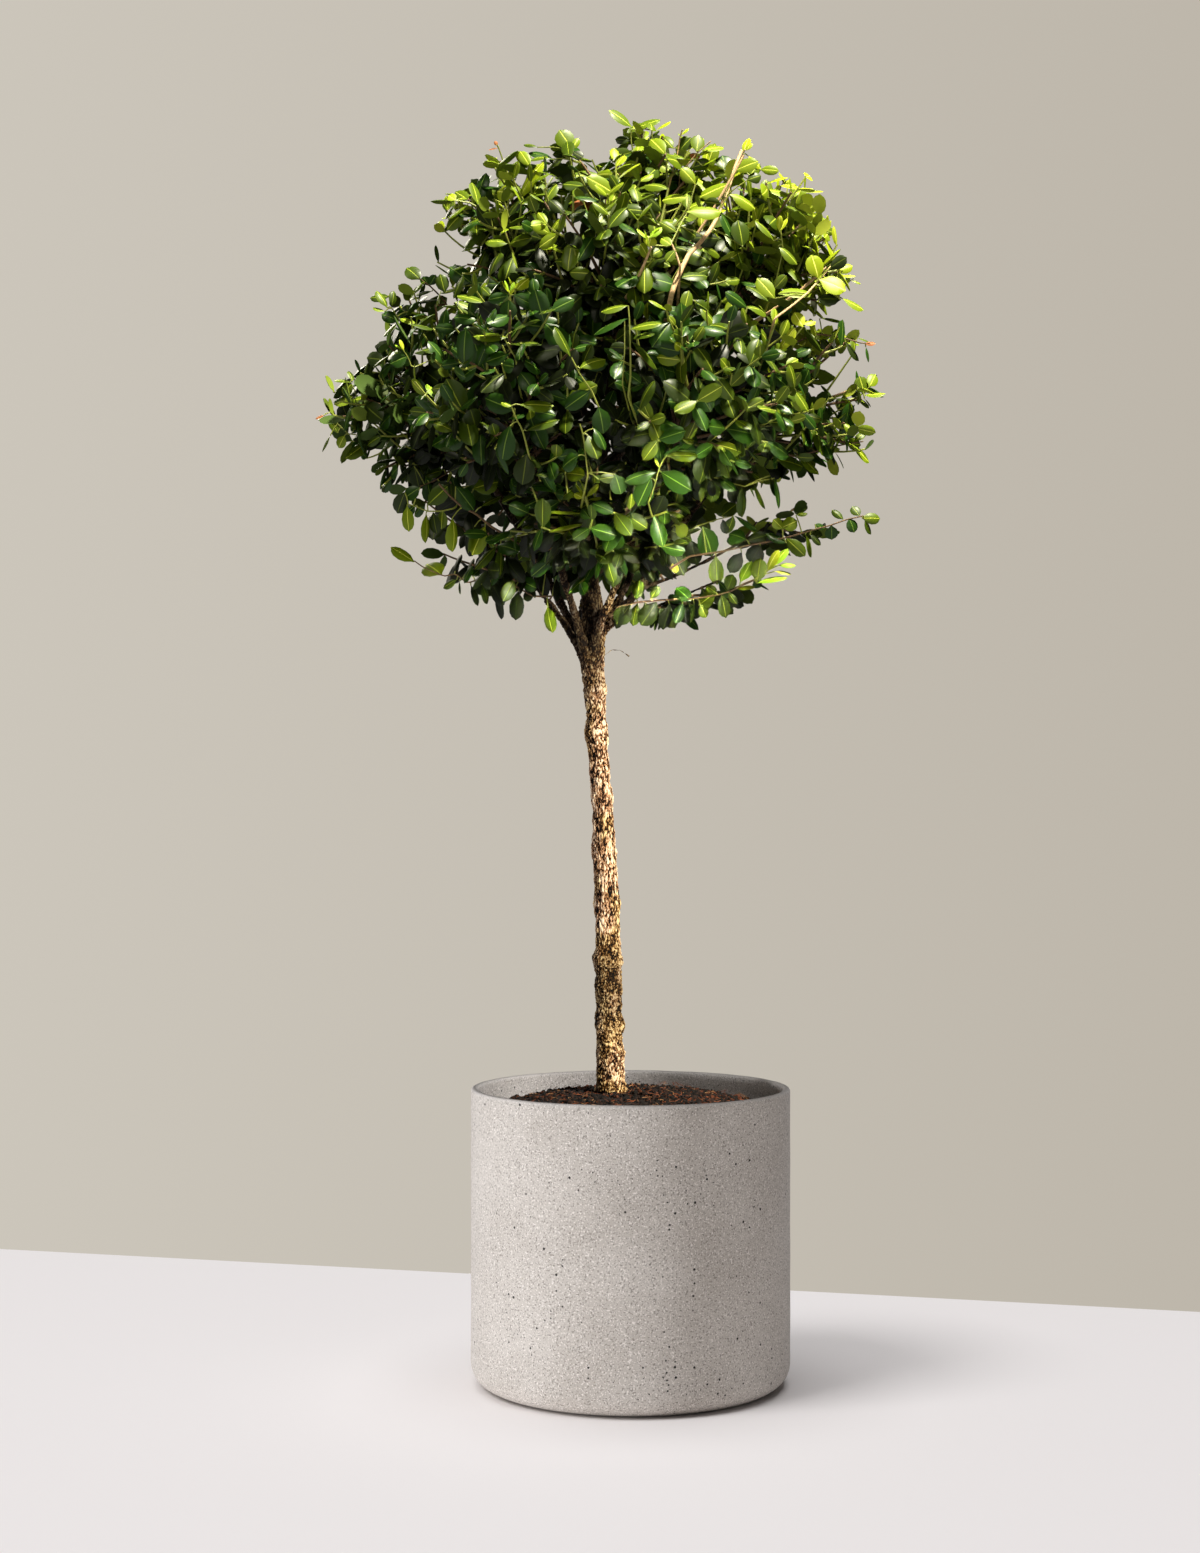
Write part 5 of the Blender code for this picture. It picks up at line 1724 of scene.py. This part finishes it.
def grow_pair(number, pair, crowd, chance, leaves):
    """Both leaves of a pair, where they find room."""
    shoot, name = shoots[number]
    space = axes[name].space
    root, line = shoot.place(LEAF_SETBACK + pair * (SPRAY_PAIR_SPACING if shoot.spray else PAIR_SPACING))
    sideways = out_from(line, number * GOLDEN_ANGLE + pair * math.pi / 2)
    low = min(1.0, max(0.0, (LOW_FROM - root.z) / LOW_DEPTH))
    droop = PAIR_DROOP[min(pair, 3)] + LOW_DROOP * low
    age = min(1.0, TIP_AGE + AGE_STEP * pair)
    base = LEAF_LENGTH
    reach = LEAF_REACH
    if shoot.spray:
        sideways = line.cross(Vector((0, 0, 1))).normalized()
        base, droop = SPRAY_LEAVES[name]
        age = min(1.0, SPRAY_TIP_AGE + SPRAY_AGE_STEP * pair)
        reach = SPRAY_REACH
    for sign in (1, -1):
        for attempt in range(LEAF_TRIES):
            lean = (LEAF_LEAN if pair else TIP_LEAN) * chance.uniform(0.8, 1.2)
            way = line * math.cos(lean) + sideways * (sign * math.sin(lean))
            stray = scatter(chance, LEAF_SCATTER + MORE_SCATTER * attempt)
            way += stray - Vector((0, 0, droop * chance.uniform(0.2, 1.0)))
            way.normalize()
            facing = (root - CROWN_CENTRE).normalized()
            facing.z = facing.z * LEAF_FACE_STEEP + LEAF_FACE_UP
            side = way.cross(facing + scatter(chance, LEAF_FACE_SPREAD))
            length = base * age * chance.uniform(0.80, 1.16)
            places = try_leaf(root, way, length, space, reach, crowd)
            if places and side.length > 0.05:
                up = side.normalized().cross(way)
                for place in places:
                    crowd.add(place)
                half_width = length * LEAF_HALF_WIDTH * chance.uniform(0.86, 1.12)
                leaves.append(Leaf(root, way, up, length, half_width, chance, number, pair))
                break


def set_leaf(root, tip, width, tone, chance):
    """A leaf set one by one, turned about its own length until it looks as wide as it should."""
    length = (tip - root).length
    tip = tip + Vector((0, length * chance.uniform(-SET_TILT, SET_TILT), 0))
    way = (tip - root).normalized()
    length = (tip - root).length
    half_width = max(length * LEAF_HALF_WIDTH, width * SEEN_WIDTH)
    turned = math.acos(min(1.0, width * SEEN_WIDTH / half_width)) * chance.choice((-1, 1))
    facing = SET_FACING + scatter(chance, 0.2)
    side = way.cross(facing).normalized()
    facing = side.cross(way)
    up = facing * math.cos(turned) + side * math.sin(turned)
    if up.z < 0 and abs(turned) > 0.5:
        up = facing * math.cos(turned) - side * math.sin(turned)
    return Leaf(root, way, up, length, half_width, chance, tone=tone)


crowd = Crowd(LEAF_ROOM)
chance = random.Random("leaves")
leaves = [set_leaf(*row, chance) for row in set_leaves]
for leaf in leaves:
    for share in LEAF_PLACES:
        crowd.add(leaf.root + leaf.way * (leaf.length * share))
for pair in range(MOST_PAIRS):
    for number, (shoot, name) in enumerate(shoots):
        if LEAF_SETBACK + pair * PAIR_SPACING < shoot.leafy:
            grow_pair(number, pair, crowd, chance, leaves)
# Shoots that found no room for leaves are left out, and bare ends are cut off
outermost = {}
for leaf in leaves:
    if leaf.tone is None:
        outermost[leaf.shoot] = min(leaf.pair, outermost.get(leaf.shoot, leaf.pair))
left_out = 0
for number, (shoot, name) in enumerate(shoots):
    if not shoot.leafy or shoot.spray or shoot.wood == "pale":
        continue
    if shoot.wood == "young" and number not in outermost:
        shoot.radii = None
        left_out += 1
        continue
    bare = outermost.get(number, MOST_PAIRS) * PAIR_SPACING
    shoot.shorten(min(bare, OLD_TIP_CUT) if shoot.wood == "old" else bare)
print("leaves:", len(leaves), "and shoots left out:", left_out)

# %% [markdown]
# The crown isn't one green, and painted light and shade are dealt out with its colours. Its top and its
# right side, where the sun falls, are painted bright yellow green, the lobe on the left is a cooler middle
# green, the bottom and everything deep inside are painted dark as shade, and here and there a shoot has
# new lime leaves. A few leaves are spent, orange or brown. The colour is dealt out by the shoot, from how
# high, how far right and how far out the shoot stands, with some luck in it.

# %% Leaf colours
# Each tone: the leaf's face, its vein and its underside, and how rough the face is
TONES = {
    "deep": ((15, 22, 3), (36, 46, 12), (30, 40, 12), 0.45),
    "shade": ((30, 42, 5), (80, 92, 24), (54, 66, 22), 0.42),
    "cool": ((32, 60, 10), (98, 124, 44), (60, 80, 30), 0.36),
    "leaf": ((50, 67, 6), (128, 142, 38), (80, 96, 26), 0.40),
    "full": ((74, 92, 8), (166, 176, 60), (108, 124, 36), 0.42),
    "fresh": ((100, 118, 12), (194, 200, 78), (136, 148, 42), 0.44),
    "bright": ((126, 141, 18), (214, 216, 100), (160, 170, 52), 0.45),
    "young": ((148, 160, 30), (224, 226, 112), (176, 186, 64), 0.46),
    "lime": ((122, 156, 28), (200, 216, 96), (160, 184, 60), 0.48),
    "spent": ((128, 76, 40), (176, 122, 72), (134, 86, 50), 0.60),
}
# Dark to light: the low rungs carry painted shade and the high ones painted sunlight, beside each leaf's own
# green
LADDER = ("deep", "shade", "leaf", "full", "fresh", "bright", "young")
# Where single leaves are spent
SPENT_PLACES = (
    (-0.039, -0.085, 0.971), (0.196, -0.020, 0.996), (-0.115, -0.030, 1.042), (-0.268, 0, 0.820),
    (0.203, -0.02, 0.877),
)
CROWN_REACH = Vector((0.235, 0.205, 0.225))
# How many steps up or down the ladder a shoot's leaves go, from its tip inward: partly younger leaves at
# the tip, partly painted shade on the older pairs further in
PAIR_STEPS = (0.95, 0.3, -0.6, -1.4)
LEAF_GLOSS = 0.18
LEAST_BRIGHT = 0.15
BRIGHT_LUCK = 0.13


def painted_brightness(place, chance):
    """How bright a shoot's leaves are painted, from 0 to 1, by where its tip stands: painted sunlight high,
    to the sides and out, painted shade deep inside.
    """
    off = place - CROWN_CENTRE
    out = Vector([off[k] / CROWN_REACH[k] for k in range(3)])
    high = 0.19 * max(-0.3, out.z)
    right = 0.05 * out.x
    outside = 0.38 * (min(1.0, out.length) - 0.62)
    to_the_sides = 0.25 * abs(out.x) * max(0.0, out.z + 0.6)
    return LEAST_BRIGHT + high + right + outside + to_the_sides + chance.gauss(0, BRIGHT_LUCK)


def deal_tones():
    """The name of each leaf's tone, from its shoot's and how near the shoot's tip the leaf is."""
    chance = random.Random("tones")
    tips = [shoot.path[-1] for shoot, name in shoots]
    steps = [painted_brightness(tip, chance) * len(LADDER) for tip in tips]
    dealt = []
    for leaf in leaves:
        if leaf.tone is not None:
            dealt.append(list(TONES)[leaf.tone])
            continue
        step = steps[leaf.shoot] + PAIR_STEPS[min(leaf.pair, 3)] + chance.gauss(0, 0.3)
        tone = LADDER[min(len(LADDER) - 1, max(0, int(step)))]
        cool_share = 0.60 if leaf.root.x < -0.03 else 0.42
        may_be_cool = ("shade", "leaf", "full") if leaf.root.z < 0.90 else ("leaf",)
        if tone in may_be_cool and chance.random() < cool_share:
            tone = "cool"
        dealt.append(tone)
    for place in SPENT_PLACES:
        nearest = min(range(len(leaves)), key=lambda i: (leaves[i].root - Vector(place)).length)
        dealt[nearest] = "spent"
    return dealt


def leaf_materials(tone, colours, roughness):
    """The plain colours of a leaf's face, vein and underside."""
    made = []
    for part, colour, rough in zip(("face", "vein", "under"), colours, (roughness, 0.50, 0.60)):
        material, tree, shader = new_material(f"leaf_{tone}_{part}", screen(*colour), rough)
        shader.inputs["Specular IOR Level"].default_value = LEAF_GLOSS
        made.append(material)
    return made


dealt = deal_tones()
mass_nodes = ["mass_" + name for name in MASSES]
for tone, (*colours, roughness) in TONES.items():
    heap = Heap()
    for leaf, its_tone in zip(leaves, dealt):
        if its_tone == tone:
            side = np.array(leaf.way.cross(leaf.up))
            shape = blades[leaf.blade] * (leaf.half_width, leaf.length, leaf.length)
            turned = shape @ np.array([side, leaf.way, leaf.up])
            heap.add(turned + np.array(leaf.root), blade_corners, blade_sizes, blade_slots)
    piece = heap.make("leaves_" + tone, leaf_materials(tone, colours, roughness), 75)
    hand_over(piece, mass_nodes if tone == "leaf" else ())

# %% [markdown]
# Twigs and shoots are thin tubes. Older twigs are brown and rough, young shoots are yellow green, and a
# few bare twigs near the front are a pale cream, partly where the sun has bleached them and partly as a
# painted highlight where it catches them. Each kind of wood is one piece with its own finish.

# %% Twigs and shoots as meshes
WOODS = {
    "old": (grained("twig_bark", screen(112, 84, 52), 0.75, 500, 0.65), 6),
    "young": (grained("shoot_bark", screen(134, 142, 48), 0.60, 500), 5),
    # Pale cream: partly the twigs' bleached bark, partly painted sunlight
    "pale": (grained("pale_and_sunlit_bark", screen(200, 165, 118), 0.70, 420, 0.60), 8),
}
for wood, (finish, sides) in WOODS.items():
    heap = Heap()
    for shoot, name in shoots:
        if shoot.wood == wood and shoot.radii is not None:
            add_tube(heap, [tuple(point) for point in shoot.path], shoot.radii, sides)
    hand_over(heap.make("twigs_" + wood, [finish]))

# %% [markdown]
# ## Floor, background and light
#
# The pot stands on a near white floor, which ends in the picture along a line that runs down a little to
# the right. Here the floor is a plane cut off along that line, and the greige beyond it is the world's
# own colour, so nothing blocks the view from behind. The plant is lit by the sun, high from the right
# front, and the pot softly from the left. So the crown, the wood, the pot and the floor have lamps of
# their own: a main one each, and weaker ones that fill in the shade in front, low down and behind.

# %% Floor
# The rows of pixels where the floor ends, at the picture's left and right edges
FLOOR_END_ROW_LEFT = 1249
FLOOR_END_ROW_RIGHT = 1312
FLOOR_REACH = 5.5


def on_floor(column, row):
    """The place on the floor that the photo shows at a pixel."""
    depth = CAMERA_PLACE.z * FOCAL_PIXELS / (row - HORIZON_ROW)
    across = (column - PHOTO_WIDTH / 2) * depth / FOCAL_PIXELS
    return Vector((CAMERA_PLACE.x + across, CAMERA_PLACE.y + depth, 0.0))


left_end = on_floor(0, FLOOR_END_ROW_LEFT)
right_end = on_floor(PHOTO_WIDTH, FLOOR_END_ROW_RIGHT)
along = (right_end - left_end).normalized()
middle = (left_end + right_end) / 2
select_only()
bpy.ops.mesh.primitive_plane_add(size=1)
floor = bpy.context.object
floor.name = "floor"
for point in floor.data.vertices:
    sideways = along * (FLOOR_REACH if point.co.x > 0 else -FLOOR_REACH)
    forward = Vector((along.y, -along.x, 0)) * FLOOR_REACH if point.co.y < 0 else Vector()
    point.co = middle + sideways + forward
floor_paint, tree, shader = new_material("floor", screen(239, 235, 235), 0.9)
floor.data.materials.append(floor_paint)
floor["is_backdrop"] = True

# %% World and lamps
ROOM_LIGHT = 0.035  # how bright the room's own light is beside the greige that the camera sees

world = bpy.data.worlds.new("world")
bpy.context.scene.world = world
world.use_nodes = True
tree = world.node_tree
tree.nodes.clear()
across = rising(tree, place_in(tree, "Generated")[1]["X"], -0.25, 0.25)
greige = mix(tree, across, screen(204, 198, 187), screen(189, 182, 170))
seen = add_node(tree, "ShaderNodeBackground", {"Color": greige}).outputs[0]
unseen = {"Color": (0.97, 0.99, 1.0, 1.0), "Strength": ROOM_LIGHT}
room = add_node(tree, "ShaderNodeBackground", unseen).outputs[0]
by_camera = add_node(tree, "ShaderNodeLightPath").outputs["Is Camera Ray"]
either = add_node(tree, "ShaderNodeMixShader", {0: by_camera, 1: room, 2: seen})
add_node(tree, "ShaderNodeOutputWorld", {"Surface": either.outputs[0]})


def lamp(name, place, target, size, power, colour, only, blocked_by=None, spread=180):
    """A square soft lamp that looks at target, lights only some pieces and may ignore other shadows."""
    light = bpy.data.lights.new(name, "AREA")
    light.size = size
    light.spread = math.radians(spread)
    light.energy = power
    light.color = colour
    thing = bpy.data.objects.new(name, light)
    thing.location = place
    thing.rotation_euler = (Vector(target) - Vector(place)).to_track_quat("-Z", "Y").to_euler()
    thing.visible_camera = False
    bpy.context.scene.collection.objects.link(thing)
    thing.light_linking.receiver_collection = bpy.data.collections.new("lit_by_" + name)
    for piece in only:
        thing.light_linking.receiver_collection.objects.link(piece)
    if blocked_by:
        thing.light_linking.blocker_collection = bpy.data.collections.new("blocks_" + name)
        for piece in blocked_by:
            thing.light_linking.blocker_collection.objects.link(piece)


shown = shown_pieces()
pots = [piece for piece in shown if piece.name.startswith("pot")]
wood = [piece for piece in shown if piece.name.startswith(("bark", "soil"))]
foliage = [piece for piece in shown if piece not in pots and piece not in wood]
WARM = (1.0, 0.94, 0.76)
NEUTRAL = (1.0, 0.99, 0.985)
WARM_WHITE = (1.0, 0.985, 0.95)
DAYLIGHT = (0.955, 0.975, 1.0)
lamp("crown_key", (0.72, -0.62, 2.90), (-0.02, 0, 0.84), 0.20, 246, WARM, foliage)
lamp("crown_front", (0.6, -2.2, 1.1), (-0.02, 0, 0.80), 0.6, 10, WARM, foliage)
lamp("crown_low", (0.8, -1.6, 0.90), (-0.03, 0, 0.665), 0.06, 0.42, WARM, foliage, None, 8)
lamp("crown_sheen", (-1.2, -1.0, 2.2), (-0.10, 0, 0.80), 0.4, 12, WARM, foliage)
lamp("crown_back", (-1.0, 1.7, 1.9), (-0.02, 0, 0.82), 0.8, 28, WARM, foliage)
lamp("trunk_side", (1.30, -1.30, 0.80), (-0.02, 0, 0.45), 0.18, 66, WARM, wood)
lamp("trunk_back", (-1.2, 1.4, 1.2), (-0.02, 0, 0.45), 0.6, 16, NEUTRAL, wood)
lamp("pot_side", (-3.2, -1.3, 0.20), (0, 0, 0.12), 0.30, 97, DAYLIGHT, pots)
lamp("pot_front", (0.6, -2.5, 0.6), (0, 0, 0.12), 1.0, 9.5, WARM_WHITE, pots)
lamp("pot_rim", (-0.3, -0.9, 2.6), (0, 0, 0.25), 0.5, 12, NEUTRAL, pots, pots)
lamp("pot_inside", (0.085, -0.075, 0.285), (-0.085, 0.075, 0.237), 0.02, 0.065, NEUTRAL, pots, pots, 70)
lamp("pot_back", (1.3, 2.4, 0.7), (0, 0, 0.12), 1.0, 14, DAYLIGHT, pots)
lamp("floor_side", (-9.0, -5.4, 13.2), (0, 0, 0.0), 6.8, 1290, NEUTRAL, [floor], pots)
lamp("floor_top", (0.0, 0.0, 12.0), (0, 0, 0.0), 10.0, 1000, NEUTRAL, [floor], pots)
